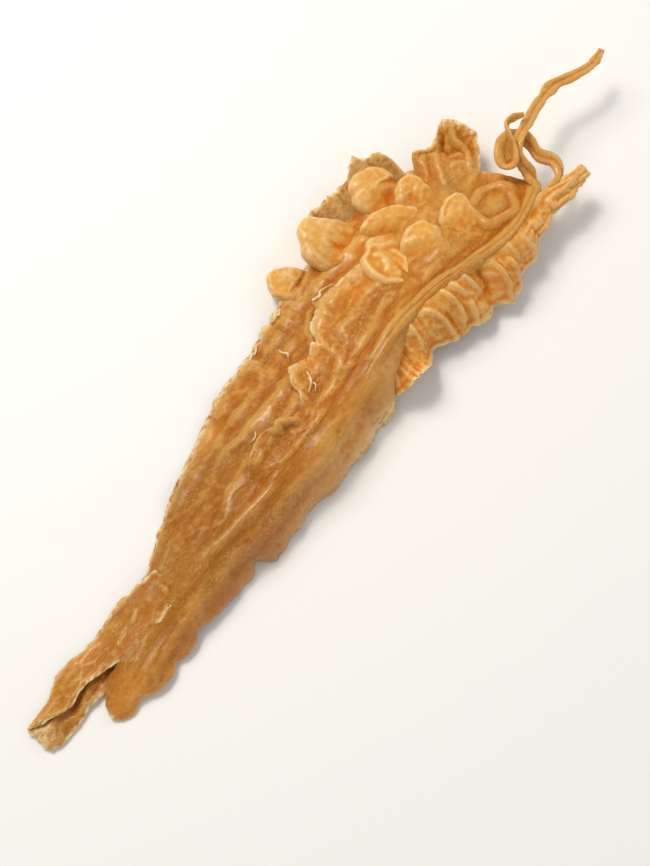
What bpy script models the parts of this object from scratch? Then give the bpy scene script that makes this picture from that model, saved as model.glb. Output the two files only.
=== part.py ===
"""Dried cod fish maw: one long split swim bladder, dried into a curled amber blade.

The blade is a thin sheet between three long guide lines (left edge, ridge, right edge).
A second ply, a ruffled frill, puffed pouches, a thin web, a crumpled head flap, a folded
tail tongue and two dried horns grow out of it. One union makes them one solid.
X runs from the tail to the head, Y to the lobed side, Z up. Lengths are in millimetres
until the last step, which turns them into metres.
"""
import math

import bmesh
import bpy
from mathutils import Vector, noise

NAME = "maw"
MM = 0.001

# Thickness of the dried membrane in the middle of each sheet, and what an edge keeps of it.
BLADE_THICK = 2.0
PLY_THICK = 1.5
FRILL_THICK = 1.3
FLAP_THICK = 1.6
TAIL_THICK = 1.6
EDGE_SHARE = 0.5

# Guide lines of the blade, tail to head. Each line has one point for each station.
RIDGE = [
    (-151, 3.5, 2.2), (-142, 4, 4), (-128, 6.5, 6.5), (-112, 8.5, 8.5), (-95, 9.5, 11),
    (-77, 9.8, 14), (-58, 8.5, 17), (-38, 7.2, 19.5), (-17, 7.2, 21.5), (6, 8.6, 23),
    (29, 11, 24), (51, 13.6, 24.3), (74, 12.2, 24.3), (96, 6.8, 24), (118, 2.6, 22.6),
    (134, 4.8, 20.8), (147, 9, 19),
]
LEFT = [
    (-149.5, 7, 0.3), (-144, 12, 0.3), (-132, 17.5, 3.2), (-114, 25.5, 4), (-97, 32.5, 2.2),
    (-80, 40, 0.2), (-61, 46.5, 2.4), (-40, 53, 0.2), (-17, 59.5, 2.6), (6, 62, 0.2),
    (29, 65, 2.6), (50, 68, 3.5), (74, 70, 4.5), (96, 69, 5), (113, 63, 6),
    (124, 59, 7.5), (131, 55, 9),
]
RIGHT = [
    (-150, 0.5, 0.3), (-143, -3, 0.3), (-128, -4.5, 2), (-112, -4, 2), (-95, -3.5, 2.8),
    (-78, -5, 1.6), (-56, -8, 0.2), (-37, -5.5, 2.4), (-16, -6, 0.2), (5, -6.5, 1.8),
    (27, -5, 1.0), (48, 7, 16), (73, 10.2, 21.5), (95, 5.2, 21.4), (114, 1.4, 20.2),
    (131, 3, 18.8), (144, 6, 17.8),
]
LEFT_FALL = 1.45
RIGHT_FALL = 2.1
HEAD_BULGE = -1.0

# Relief of the blade: a cord-like rib, long creases (weaker on the right), broad waves,
# ruffled edges, torn edges, and a stretch of the left edge that is torn more.
RIB_HEIGHT, RIB_WIDTH = 1.9, 1.9
RIB_FROM, RIB_TO = 18.0, 150.0
CREASE_HEIGHT, CREASE_LENGTH, CREASE_PITCH = 3.6, 60.0, 11.5
CREASE_RIGHT = 0.6
WAVE_HEIGHT, WAVE_LENGTH = 2.6, 28.0
RUFFLE_HEIGHT, RUFFLE_LENGTH = 1.2, 22.0
TEAR_DEPTH, TEAR_LENGTH = 1.8, 10.0
CRISP_FROM, CRISP_TO = -4.0, 40.0
CRISP_DEPTH, CRISP_LENGTH = 1.8, 5.0

# Notches torn in the right edge: place along X, half length, depth.
NOTCHES = [
    (36, 5.5, 5.5), (-63, 3.8, 7.0), (-83, 3.5, 2.4), (-100, 3.8, 3.4), (-116, 3, 2.4), (-137, 4, 4),
]

DISH_AT, DISH_RADIUS, DISH_HEIGHT, DISH_CALM = (126.0, 17.0), 9.2, 2.4, 0.8

# Upper ply: how far its free edge reaches from the ridge (0) to the left edge (1),
# and how high it stands off the blade there.
PLY_FROM, PLY_TO = -42.0, 78.0
PLY_REACH = [
    (-42, 0.30), (-30, 0.42), (-22, 0.45), (-15, 0.37), (-8, 0.29), (-2, 0.27), (1, 0.34),
    (4, 0.50), (9, 0.59), (14, 0.54), (18, 0.50), (22, 0.53), (25, 0.50), (29, 0.62),
    (33, 0.66), (38, 0.67), (41, 0.76), (44, 0.70), (50, 0.66), (60, 0.62), (70, 0.58), (78, 0.46),
]
PLY_LIFT = 3.6
PLY_ROOT = 0.06

# Rolled rims on the ply's free edge: place along X, half length, height.
PLY_RIMS = [(-13, 6, 3.4), (9, 5, 2.2), (30, 8, 2.6), (45, 6, 2.0), (60, 7, 1.8)]
PLY_RIM_AT, PLY_RIM_WIDTH = 0.86, 0.13

# Frill down the right side, tail to head: root x, y, z, slope at the root and at the hem
# in degrees below level, and the width of the strip. At the head it is pressed flat.
FRILL = [
    (24, 8.6, 22.0, 55, 80, 14), (32, 10.4, 22.8, 60, 30, 19), (40, 11.6, 23.8, 58, -16, 21),
    (48, 12.6, 24.8, 45, 20, 22), (56, 12.8, 25.2, 28, 66, 23), (65, 12.0, 25.3, 20, 80, 24),
    (74, 11.8, 25.2, 16, 72, 26), (86, 9.2, 24.9, 15, 72, 26), (98, 6.4, 24.4, 13, 76, 26),
    (109, 4.2, 23.5, 8, 84, 22.5), (119, 3.0, 22.4, 0, 90, 18.6), (129, 4.2, 21.2, -12, 110, 19.6),
    (141, 5.6, 20.4, -34, 165, 24.6), (153, 1.8, 21.2, -48, 190, 20), (165, 0.2, 20.6, -52, 200, 15),
]

# Folds across the frill: place along X at the root and at the hem, bow towards the head,
# the shares of the way to the hem where it starts and stops, height (below 0 for a hollow)
# and half width.
FRILL_FOLDS = [
    (37, 33, 0.5, 0.1, 1.3, 1.4, 2.4), (47, 43, 0.5, 0.2, 1.3, -2.0, 3.0),
    (55, 51, 0.8, 0.0, 0.8, 2.2, 2.4), (60, 58, 0.4, 0.0, 0.5, -1.2, 1.6),
    (64, 68, 1.8, 0.0, 1.3, 3.2, 2.4), (70, 71, 0.8, 0.3, 1.3, -2.2, 2.0),
    (76, 73, 2.0, 0.0, 0.95, 3.8, 1.7), (81.5, 82, 0.8, -0.1, 0.5, 2.4, 1.6),
    (87, 90, 1.0, -0.1, 0.6, 2.8, 1.9), (84, 80, 0.8, 0.4, 1.3, 2.2, 1.5),
    (95, 92, 0.8, 0.0, 0.9, -4.0, 4.4), (101, 98, 2.2, 0.15, 1.3, 3.4, 1.3),
    (106, 106, 2.4, 0.25, 1.3, 3.4, 1.6), (113, 110, 0.6, 0.0, 0.6, 1.8, 2.2),
    (119, 121, 0.6, 0.1, 1.0, 1.5, 2.6), (126, 127, 0.5, 0.2, 1.3, -1.2, 2.0),
    (133, 131, 0.5, 0.2, 1.3, 0.9, 2.4), (141, 138, 0.5, 0.2, 1.3, -0.9, 1.6),
    (150, 153, 0.5, 0.2, 1.3, 0.9, 1.8), (158, 156, 0.5, 0.2, 1.3, -0.8, 1.2),
]

FOLD_LONG_SIDE, FOLD_STEEP_SIDE, FOLD_LOSS_AT_HEM = 1.5, 1.1, 0.65

# Lobes of the hem: place along X, half length, and how far it swings out.
HEM_LOBES = [
    (46, 6, 1.6), (58, 4, -2.2), (71.5, 4.5, 1.6), (77.5, 2.5, -1.4), (84, 4, 2.6),
    (91.5, 3, -2.2), (101, 6, 2.2), (111, 3.5, -1.6), (121, 4, 1.2), (129, 3, -1.4), (146, 5, 1.0),
]
FRILL_LIP, FRILL_LIP_FROM = 1.5, 0.86
FRILL_STEPS = 14
FRILL_PRESSED, FRILL_PRESSED_FROM, FRILL_PRESSED_TO = 0.5, 116.0, 134.0

# Pouches: middle, how far it stands off the blade, half length and half width, height above
# and below the middle, the side that stands free and by how many degrees it is raised, dent
# (share of the height) and rim height.
POUCHES = {
    "margin_small": ((43, 68.5), 2.5, (9.5, 8.5), (4.6, 6.4), 140, 12, 0.10, 0.8),
    "margin_broad": ((67.5, 64), 3.5, (15.8, 12.6), (6.6, 9.0), 112, 12, 0.06, 0.9),
    "margin_torn": ((101.5, 64), 3.5, (13.4, 12.0), (6.4, 10.0), 96, 10, 0.16, 1.3),
    "margin_fold": ((108.2, 49), 3.0, (9.6, 8.6), (4.2, 5.0), 66, 10, 0.20, 1.0),
    "inner_tear": ((110, 25.5), 0.6, (11.5, 8.6), (5.0, 3.0), 60, 12, 0.10, 1.2),
    "inner_lobe": ((89.6, 29.6), 0.8, (10.4, 10.0), (5.4, 3.0), 50, 8, 0.12, 1.2),
    "inner_ear": ((77.4, 36.2), 1.0, (14.8, 14.4), (5.0, 4.0), 178, 12, 0.42, 2.6),
    "band_fold": ((92, 48.5), 0.6, (7.6, 14.5), (3.0, 3.0), 54, 13, 0.0, 0.6),
}
POUCH_NECK = 0.35
POUCH_OUTLINE = 0.10
POUCH_SWELL, POUCH_SWELL_LENGTH = 0.45, 6.0
POUCH_SUNK = 0.5
POUCH_ROOT_FROM, POUCH_ROOT_TO, POUCH_ROOT_PUFF = -0.95, 0.15, 0.2

# Crumpled head flap: its right and left side lines, root to tip.
FLAP_RIGHT = [(116, 31, 15.0), (126, 31.5, 14.6), (136, 33, 14.4), (144.5, 39, 13.2), (151.5, 47, 12)]
FLAP_LEFT = [(112, 56, 9), (119.5, 56.5, 9.4), (126.5, 63.5, 11), (133.5, 59.5, 11), (147, 62.5, 12.5)]
FLAP_SWELL, FLAP_SUNK_ROOT, FLAP_LATE = 2.2, 2.0, 0.25
FLAP_RIM, FLAP_RIM_WIDTH, FLAP_DISH = 3.6, 0.30, 2.2
FLAP_BOW, FLAP_CRUMPLE, FLAP_CRUMPLE_ASIDE = 2.0, 1.6, 1.5

# Thin web between the margin pouches, with a torn rim: its root line and its free line.
WEB_ROOT = [(64, 63, 7), (76, 63, 7), (90, 61, 7.5), (104, 60, 8.5), (117, 56, 10)]
WEB_FREE = [
    (64, 75, 7.5), (73, 82, 8), (82, 80.5, 10), (91, 79.5, 10), (99, 79.5, 12),
    (105.5, 83, 15), (109, 78.5, 15.5), (115.5, 75, 15), (117, 67, 13),
]
WEB_THICK, WEB_TEAR, WEB_WAVE = 1.2, 1.4, 1.6

# Folded tail tongue: lower ply between its two side lines, upper ply up to its fold.
TONGUE_LEFT = [
    (-93, 29, 6), (-104, 31.5, 3.4), (-116, 32.5, 2.2), (-130, 30.5, 1.6), (-142, 31.5, 1.4),
    (-152, 32.5, 1.4), (-161, 29, 1.5), (-168, 27.5, 1.8), (-176.5, 27, 1.6),
]
TONGUE_RIGHT = [
    (-95, 10, 10.5), (-106, 9, 6.5), (-118, 8, 3), (-131, 8.5, 1.6), (-144, 11.5, 1.4),
    (-152, 12.5, 1.6), (-161, 11.5, 1.4), (-170, 11.5, 1.4), (-177, 14, 1.4),
]
TONGUE_FOLD = [
    (-95, 13, 10.0), (-106, 12.5, 8.2), (-118, 12.5, 6), (-130, 14.5, 5.4), (-140, 17.5, 5.4),
    (-149, 19.5, 5.6), (-157, 18.2, 5.4), (-165, 20.5, 4.6), (-171.5, 24, 4.0),
]
TONGUE_WAVE = 1.1

# Horns: dried cords that stand off the head, as x, y, z and half width.
HORN_LOOP = [
    (140, 2, 17, 3.6), (148, 3, 19, 3.4), (155, 3, 20.5, 3.2), (159, 9, 21.5, 3.1),
    (156.5, 16, 22.5, 3.2), (158, 23, 24, 3.3), (156.5, 28, 26, 3.4), (151.5, 30.5, 27, 3.8),
    (146, 28.5, 26.5, 4.4), (142.5, 24, 25, 4.4), (144.5, 21.5, 27.0, 3.6),
    (148.5, 25, 30.5, 3.0), (151, 29.5, 33, 2.4), (154, 34, 33.5, 2.2), (158, 34, 33.5, 2.0),
    (163, 31, 33.5, 1.4),
]
HORN_LONG = [
    (139, 4, 15, 4.0), (144, 7, 18.5, 3.8), (146.5, 13.5, 22.5, 3.3), (147, 20, 27, 2.9),
    (152, 26, 30, 2.7), (163, 28.5, 29.5, 2.7), (172, 30.5, 28, 2.7), (180, 31.5, 26.5, 2.9),
    (188, 31.5, 26, 3.0), (197.5, 27.8, 25, 2.7), (207, 25, 24, 2.3), (214, 25.2, 23.3, 2.2),
    (218, 26, 23, 1.5),
]
HORN_FLAT = 0.62
HORN_STEP = 3.3
HORN_SIDES = 8

# Faces of each sheet, along and across.
BLADE_GRID = (44, 13)
BLADE_ROWS_RIGHT = 3
BLADE_CROWD = 1.25
PLY_GRID = (31, 5)
FRILL_GRID = (56, 5)
FLAP_GRID = (10, 8)
TAIL_GRID = (13, 4)
WEB_GRID = (14, 3)
POUCH_GRID = (13, 9)
GROUND_SIZE = 600.0
WELD = 0.0001

# Lowest height of a sheet's middle where it runs along the surface.
SHEET_FLOOR = 0.8

# Middle of the finished outline, which becomes the origin on the surface it lies on.
MIDDLE = (20.68, 33.538)

AMBER = (0.62, 0.27, 0.06, 1.0)
ROUGHNESS = 0.38
SHARP_ANGLE = 50.0


def smooth(low, high, value):
    """0 below low, 1 above high, an S curve between."""
    part = min(max((value - low) / (high - low), 0.0), 1.0)
    return part * part * (3.0 - 2.0 * part)


def bump(value, width):
    """Bell of height 1 at 0."""
    return math.exp(-(value / width) ** 2)


def on_line(points, share):
    """Values at a share of a smooth line through rows of numbers."""
    last = len(points) - 1
    place = min(max(share, 0.0), 1.0) * last
    i = min(int(place), last - 1)
    t = place - i
    values = []
    for axis in range(len(points[0])):
        b, c = points[i][axis], points[i + 1][axis]
        a = points[i - 1][axis] if i > 0 else 2 * b - c
        d = points[i + 2][axis] if i + 2 <= last else 2 * c - b
        values.append(0.5 * (2 * b + (c - a) * t + (2 * a - 5 * b + 4 * c - d) * t * t
                             + (3 * b - a - 3 * c + d) * t ** 3))
    return values


def between(pairs, x):
    """Value at x on a smooth line through pairs that rise in x."""
    low, high = 0, len(pairs) - 1
    while high - low > 1:
        mid = (low + high) // 2
        low, high = (mid, high) if pairs[mid][0] <= x else (low, mid)
    part = smooth(pairs[low][0], pairs[high][0], x)
    return pairs[low][1] + (pairs[high][1] - pairs[low][1]) * part


def rough(x, y, z=0.0):
    """Smooth random value between about -1 and 1."""
    return noise.noise(Vector((x, y, z)))


def rib_relief(x, off_ridge):
    """Cord-like ridge that fades in towards the tail and out at the head."""
    ends = smooth(RIB_FROM, RIB_FROM + 30.0, x) * (1.0 - smooth(RIB_TO - 8.0, RIB_TO, x))
    return ends * RIB_HEIGHT * bump(off_ridge - 0.4, RIB_WIDTH)


def crease_relief(x, off_ridge, share):
    """Long sharp creases that run with the blade."""
    drift = 3.0 * rough(x / 80.0, 7.7)
    folds = abs(rough(x / CREASE_LENGTH, (off_ridge + drift) / CREASE_PITCH, 2.4))
    side = 1.0 - (1.0 - CREASE_RIGHT) * smooth(0.0, 0.3, -share)
    return side * CREASE_HEIGHT * (0.5 - 1.6 * folds)


def edge_relief(x, share):
    """Small ruffles that grow towards both edges."""
    side = math.copysign(1.0, share)
    swing = math.sin(2 * math.pi * x / RUFFLE_LENGTH + 5.0 * rough(x / 26.0, side))
    return RUFFLE_HEIGHT * (0.6 + rough(x / 22.0, 4.0 + side)) * swing * abs(share) ** 3


def torn_in(x, share):
    """How far the torn edge falls short of its guide line at x."""
    side = math.copysign(1.0, share)
    depth = TEAR_DEPTH * rough(x / TEAR_LENGTH, 5.0 * side)
    if side > 0:
        crisp = smooth(CRISP_FROM - 5, CRISP_FROM, x) * (1 - smooth(CRISP_TO - 5, CRISP_TO, x))
        depth += crisp * CRISP_DEPTH * rough(x / CRISP_LENGTH, 9.0)
    else:
        depth += sum(deep * bump(x - place, half) for place, half, deep in NOTCHES)
    return depth


def dish_relief(x, y):
    """Round dished swelling near the head, with rings round it."""
    off_x, off_y = x - DISH_AT[0], y - DISH_AT[1]
    out = math.hypot(off_x, off_y) / DISH_RADIUS * (1.0 + 0.35 * rough(off_x / 9.0, off_y / 9.0, 6.4))
    uneven = 0.65 + 0.8 * rough(off_x / 8.0, off_y / 8.0, 2.4)
    return DISH_HEIGHT * (uneven * bump(out - 1.0, 0.27) + 0.35 * bump(out, 0.5))


def blade_point(along, share, lift=0.0):
    """Middle of the blade: share is 1 at the left edge, 0 on the ridge, -1 at the right."""
    ridge = on_line(RIDGE, along)
    edge = on_line(LEFT if share >= 0 else RIGHT, along)
    part = abs(share)
    x = ridge[0] + (edge[0] - ridge[0]) * part
    y = ridge[1] + (edge[1] - ridge[1]) * part
    drop = part ** (LEFT_FALL if share >= 0 else RIGHT_FALL)
    z = ridge[2] + (edge[2] - ridge[2]) * drop
    if share >= 0:
        x += HEAD_BULGE * smooth(0.9, 1.0, along) * math.sin(math.pi * part)
    off_ridge = math.copysign(math.hypot(edge[0] - ridge[0], edge[1] - ridge[1]) * part, share)
    y -= math.copysign(torn_in(x, share) * part ** 4, share)
    ends = smooth(0.0, 0.12, along)
    relief = rib_relief(x, off_ridge) + crease_relief(x, off_ridge, share) * (0.35 + 0.65 * ends)
    relief += WAVE_HEIGHT * rough(x / WAVE_LENGTH, y / WAVE_LENGTH, 9.1) * ends * (1 - 0.4 * part)
    relief += edge_relief(x, share) * ends
    if share >= 0:
        calm = bump(math.hypot(x - DISH_AT[0], y - DISH_AT[1]), 1.3 * DISH_RADIUS)
        relief += dish_relief(x, y) - DISH_CALM * calm * relief
    slope = math.radians(58.0 * smooth(0.0, 0.8, -share) - 14.0 * smooth(0.0, 0.6, share))
    out = relief + lift
    return Vector((x, y - out * math.sin(slope), z + out * math.cos(slope)))


def along_of(x):
    """Share of the ridge line at which it has reached x."""
    low, high = 0.0, 1.0
    for _ in range(30):
        mid = 0.5 * (low + high)
        low, high = (mid, high) if on_line(RIDGE, mid)[0] < x else (low, mid)
    return low


def ply_point(along, share):
    """Upper ply: follows the blade, and stands off it towards its scalloped free edge."""
    x = PLY_FROM + (PLY_TO - PLY_FROM) * along
    reach = between(PLY_REACH, x) + 0.02 * rough(x / 3.0, 1.5)
    ends = smooth(0.0, 0.10, along) * (1.0 - smooth(0.92, 1.0, along))
    stand = smooth(0.0, 0.25, share) * (1.7 + (PLY_LIFT - 1.7) * share ** 1.5)
    curl = 0.9 * math.sin(x / 2.9 + 3.0 * rough(x / 12.0, 4.0)) * share ** 4
    rims = sum(high * bump(x - place, half) for place, half, high in PLY_RIMS)
    curl += rims * bump(share - PLY_RIM_AT, PLY_RIM_WIDTH)
    place = blade_point(along_of(x), PLY_ROOT + (reach - PLY_ROOT) * share)
    place.z += (stand + curl) * ends - 0.25 * (1.0 - ends * smooth(0.0, 0.15, share))
    return place


def frill_point(along, share):
    """Strip that leaves the ridge, turns down and ruffles; at the head it is a pressed band."""
    x, y, z, start, end, width = on_line(FRILL, along)
    reach = share * width / FRILL_STEPS
    band = smooth(FRILL_PRESSED_FROM, FRILL_PRESSED_TO, x)
    press = 1.0 - (1.0 - FRILL_PRESSED) * band
    for step in range(FRILL_STEPS):
        angle = math.radians(start + (end - start) * share * (step + 0.5) / FRILL_STEPS)
        y -= reach * math.cos(angle)
        z -= reach * math.sin(angle) * press
    last = math.radians(start + (end - start) * share)
    swing = 0.0
    for root, hem, bow, first, final, high, half in FRILL_FOLDS:
        off = x - root - (hem - root) * share - 4.0 * bow * share * (1.0 - share)
        ends = smooth(first, first + 0.25, share) * (1.0 - smooth(final - 0.3, final, share))
        swing += high * bump(off, half * (FOLD_LONG_SIDE if off < 0 else FOLD_STEEP_SIDE)) * ends
    swing *= smooth(0.0, 0.1, share) * (1.0 - FOLD_LOSS_AT_HEM * smooth(0.6, 1.0, share))
    swing += FRILL_LIP * smooth(FRILL_LIP_FROM, 1.0, share)
    swing += share ** 2 * sum(out * bump(x - place, half) for place, half, out in HEM_LOBES)
    y -= swing * math.sin(last)
    z += swing * math.cos(last)
    return Vector((x + 0.5 * rough(x / 6.0, share * 3.0, 8.0), y, max(z, SHEET_FLOOR)))


def flap_point(along, share):
    """Head flap: dished middle, rolled rim, crumpled all over."""
    right, left = on_line(FLAP_RIGHT, along), on_line(FLAP_LEFT, along)
    x, y, z = (right[i] + (left[i] - right[i]) * share for i in range(3))
    x += FLAP_BOW * smooth(0.75, 1.0, along) * math.sin(math.pi * share)
    to_rim = min(share, 1.0 - share, (1.0 - along) * 1.2) * 2.0
    free, far = smooth(0.3, 0.7, along - FLAP_LATE * (1.0 - share)), smooth(0.45, 0.8, along)
    z += free * FLAP_RIM * bump(to_rim, FLAP_RIM_WIDTH) - far * FLAP_DISH * smooth(0.3, 0.9, to_rim)
    z += FLAP_SWELL * math.sin(math.pi * share) * (1.0 - smooth(0.5, 0.8, along))
    z -= FLAP_SUNK_ROOT * (1.0 - smooth(0.0, 0.22, along))
    z += free * FLAP_CRUMPLE * rough(x / 7.0, y / 7.0, 3.3)
    x += FLAP_CRUMPLE_ASIDE * free * rough(x / 7.0, y / 7.0, 6.1)
    y += FLAP_CRUMPLE_ASIDE * free * rough(x / 7.0, y / 7.0, 1.1)
    return Vector((x, y, z))


def web_point(along, share):
    """Thin web between the margin pouches: wavy, with a torn free edge."""
    root, free = on_line(WEB_ROOT, along), on_line(WEB_FREE, along)
    x, y, z = (root[i] + (free[i] - root[i]) * share for i in range(3))
    y -= WEB_TEAR * rough(x / 3.0, 6.6) * share ** 3
    z += share * WEB_WAVE * math.sin(x / 2.6 + 2.0 * rough(x / 9.0, 3.0))
    return Vector((x, y, max(z, SHEET_FLOOR)))


def tongue_point(edge_line, along, share, lift):
    """Tail tongue, between its left line and the given one."""
    left, right = on_line(TONGUE_LEFT, along), on_line(edge_line, along)
    x, y, z = (left[i] + (right[i] - left[i]) * share for i in range(3))
    z += (lift + TONGUE_WAVE * rough(x / 14.0, y / 7.0, 5.5)) * smooth(0.0, 0.2, along)
    return Vector((x, y + 0.8 * rough(x / 5.0, share * 2.0, 2.2), max(z, SHEET_FLOOR)))


def sheet(name, grid, place, thick, edges):
    """Thin wavy solid: a flat grid laid on place(along, share), split into triangles, thickened."""
    bm = bmesh.new()
    bmesh.ops.create_grid(bm, x_segments=grid[0], y_segments=grid[1], size=0.5)
    for vert in bm.verts:
        vert.co = Vector((vert.co.x + 0.5, vert.co.y + 0.5, 0.0))
    shares = [(vert.co.x, vert.co.y) for vert in bm.verts]
    for vert, (along, share) in zip(bm.verts, shares):
        vert.co = place(along, share)
    bmesh.ops.triangulate(bm, faces=bm.faces[:])
    mesh = bpy.data.meshes.new(name)
    bm.to_mesh(mesh)
    bm.free()
    piece = bpy.data.objects.new(name, mesh)
    group = piece.vertex_groups.new(name="thickness")
    for index, (along, share) in enumerate(shares):
        group.add([index], max(EDGE_SHARE, edges(along, share)), "REPLACE")
    thicken = piece.modifiers.new("thickness", "SOLIDIFY")
    thicken.thickness = thick
    thicken.offset = 0.0
    thicken.vertex_group = group.name
    return piece


def on_blade(x, y):
    """Height of the blade's middle at a place seen from above, and whether it reaches there."""
    along = along_of(x)
    ridge, edge = on_line(RIDGE, along), on_line(LEFT, along)
    share = max((y - ridge[1]) / (edge[1] - ridge[1]), 0.0)
    return blade_point(along, min(share, 1.0)).z, share < 0.97


def pouch(name, middle, stand, spread, heights, free_side, lean, dent, rim):
    """Puffed pouch: free and raised on one side, gathered into the blade on the other."""
    seed = len(name) + middle[0] * 0.37
    base = on_blade(*middle)[0] + stand
    rise = math.tan(math.radians(lean)) * spread[0]
    cos_free, sin_free = math.cos(math.radians(free_side)), math.sin(math.radians(free_side))
    bm = bmesh.new()
    bmesh.ops.create_uvsphere(bm, u_segments=POUCH_GRID[0], v_segments=POUCH_GRID[1], radius=1.0)
    for vert in bm.verts:
        front, side, up = vert.co
        out, angle = math.hypot(front, side), math.atan2(side, front)
        size = 1.0 + POUCH_OUTLINE * 2.0 * rough(math.cos(angle), math.sin(angle), seed)
        size += POUCH_OUTLINE * rough(2.2 * math.cos(angle), 2.2 * math.sin(angle), seed)
        back = smooth(0.0, 1.0, -front)
        ahead = front * spread[0] * size * (1.0 + POUCH_NECK * back)
        aside = side * spread[1] * size * (1.0 - POUCH_NECK * back)
        x = middle[0] + ahead * cos_free - aside * sin_free
        y = middle[1] + ahead * sin_free + aside * cos_free
        blade, over = on_blade(x, y)
        free = smooth(POUCH_ROOT_FROM, POUCH_ROOT_TO, front) if over else 1.0
        z = free * (base + rise * front) + (1.0 - free) * blade
        puff = (POUCH_ROOT_PUFF + (1.0 - POUCH_ROOT_PUFF) * free) * abs(up) ** 0.75
        if up >= 0:
            z += heights[0] * (puff - dent * free * bump(out, 0.55))
            z += rim * bump(out - 0.82, 0.16) * smooth(-0.4, 0.6, front)
            swell = rough(x / POUCH_SWELL_LENGTH, y / POUCH_SWELL_LENGTH, seed)
            z += smooth(0.0, 0.5, up) * POUCH_SWELL * swell
        else:
            z -= heights[1] * puff
        if over:
            z = max(z, blade - POUCH_SUNK + POUCH_SUNK * max(up, 0.0))
        vert.co = Vector((x, y, z))
    bmesh.ops.triangulate(bm, faces=bm.faces[:])
    mesh = bpy.data.meshes.new(name)
    bm.to_mesh(mesh)
    bm.free()
    return bpy.data.objects.new(name, mesh)


def horn(name, route):
    """Dried cord: a flattened round section swept along a smooth route."""
    section = bpy.data.curves.new(name + "_section", "CURVE")
    oval = section.splines.new("POLY")
    oval.points.add(HORN_SIDES - 1)
    for i, point in enumerate(oval.points):
        angle = 2 * math.pi * i / HORN_SIDES
        point.co = (math.cos(angle), HORN_FLAT * math.sin(angle), 0.0, 1.0)
    oval.use_cyclic_u = True
    profile = bpy.data.objects.new(name + "_section", section)
    length = sum(math.dist(a[:3], b[:3]) for a, b in zip(route, route[1:]))
    count = round(length / HORN_STEP)
    curve = bpy.data.curves.new(name, "CURVE")
    curve.dimensions = "3D"
    curve.bevel_mode = "OBJECT"
    curve.bevel_object = profile
    curve.use_fill_caps = True
    line = curve.splines.new("POLY")
    line.points.add(count)
    for i, point in enumerate(line.points):
        x, y, z, half = on_line(route, i / count)
        point.co = (x, y, z, 1.0)
        point.radius = half * (1.0 + 0.10 * rough(i / 2.5, len(name)))
        point.tilt = 0.9 * rough(i / 9.0, 3.0 + len(name))
    return curve_to_mesh(name, curve, [profile])


def curve_to_mesh(name, curve, helpers):
    """Mesh object made from a curve, with its end caps welded on."""
    source = bpy.data.objects.new(name + "_curve", curve)
    for item in [source] + helpers:
        bpy.context.scene.collection.objects.link(item)
    graph = bpy.context.evaluated_depsgraph_get()
    mesh = bpy.data.meshes.new_from_object(source.evaluated_get(graph))
    piece = bpy.data.objects.new(name, mesh)
    piece.matrix_world = source.matrix_world
    for item in [source] + helpers:
        bpy.data.objects.remove(item)
    bm = bmesh.new()
    bm.from_mesh(mesh)
    bmesh.ops.remove_doubles(bm, verts=bm.verts[:], dist=WELD)
    bmesh.ops.triangulate(bm, faces=bm.faces[:])
    bmesh.ops.recalc_face_normals(bm, faces=bm.faces[:])
    bm.to_mesh(mesh)
    bm.free()
    return piece


def blade_share(row):
    """Share from the ridge for a share of the blade's rows, crowded near the ridge."""
    step = row * BLADE_GRID[1] - BLADE_ROWS_RIGHT
    if step < 0:
        return -(-step / BLADE_ROWS_RIGHT) ** BLADE_CROWD
    return (step / (BLADE_GRID[1] - BLADE_ROWS_RIGHT)) ** BLADE_CROWD


def to_edge(*distances):
    """1 inside a sheet, falling to 0 at the nearest free edge."""
    return smooth(0.0, 1.0, min(distances))


def all_shapes():
    """Every sheet, pouch and horn, before they are joined."""
    shapes = [
        sheet("blade", BLADE_GRID, lambda a, s: blade_point(a, blade_share(s)), BLADE_THICK,
              lambda a, s: to_edge(s * 7, (1 - s) * 7, a * 30, (1 - a) * 30)),
        sheet("ply", PLY_GRID, ply_point, PLY_THICK, lambda a, s: to_edge((1 - s) * 5)),
        sheet("frill", FRILL_GRID, frill_point, FRILL_THICK, lambda a, s: to_edge((1 - s) * 5)),
        sheet("web", WEB_GRID, web_point, WEB_THICK,
              lambda a, s: to_edge((1 - s) * 4, a * 9, (1 - a) * 9)),
        sheet("flap", FLAP_GRID, flap_point, FLAP_THICK,
              lambda a, s: to_edge(s * 6, (1 - s) * 6, (1 - a) * 6)),
        sheet("tongue_lower", TAIL_GRID, lambda a, s: tongue_point(TONGUE_RIGHT, a, s, 0.0),
              TAIL_THICK, lambda a, s: to_edge(s * 5, (1 - s) * 5, (1 - a) * 9)),
        sheet("tongue_upper", TAIL_GRID, lambda a, s: tongue_point(TONGUE_FOLD, a, s, 0.5),
              TAIL_THICK, lambda a, s: to_edge(s * 5, (1 - s) * 5, (1 - a) * 9)),
        horn("horn_loop", HORN_LOOP),
        horn("horn_long", HORN_LONG),
    ]
    shapes += [pouch(name, *sizes) for name, sizes in POUCHES.items()]
    return shapes


def boolean(piece, operation, other):
    """Boolean modifier with an object or a whole collection."""
    modifier = piece.modifiers.new(operation.lower(), "BOOLEAN")
    modifier.operation = operation
    modifier.solver = "MANIFOLD"
    if isinstance(other, bpy.types.Collection):
        modifier.operand_type = "COLLECTION"
        modifier.collection = other
    else:
        modifier.object = other


def ground():
    """Block below the surface that the maw lies on, which trims its foot flat."""
    bpy.ops.mesh.primitive_cube_add(size=GROUND_SIZE, location=(0, 0, -GROUND_SIZE / 2))
    block = bpy.context.object
    block.name = "ground"
    block.hide_render = True
    block.display_type = "WIRE"
    return block


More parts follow.
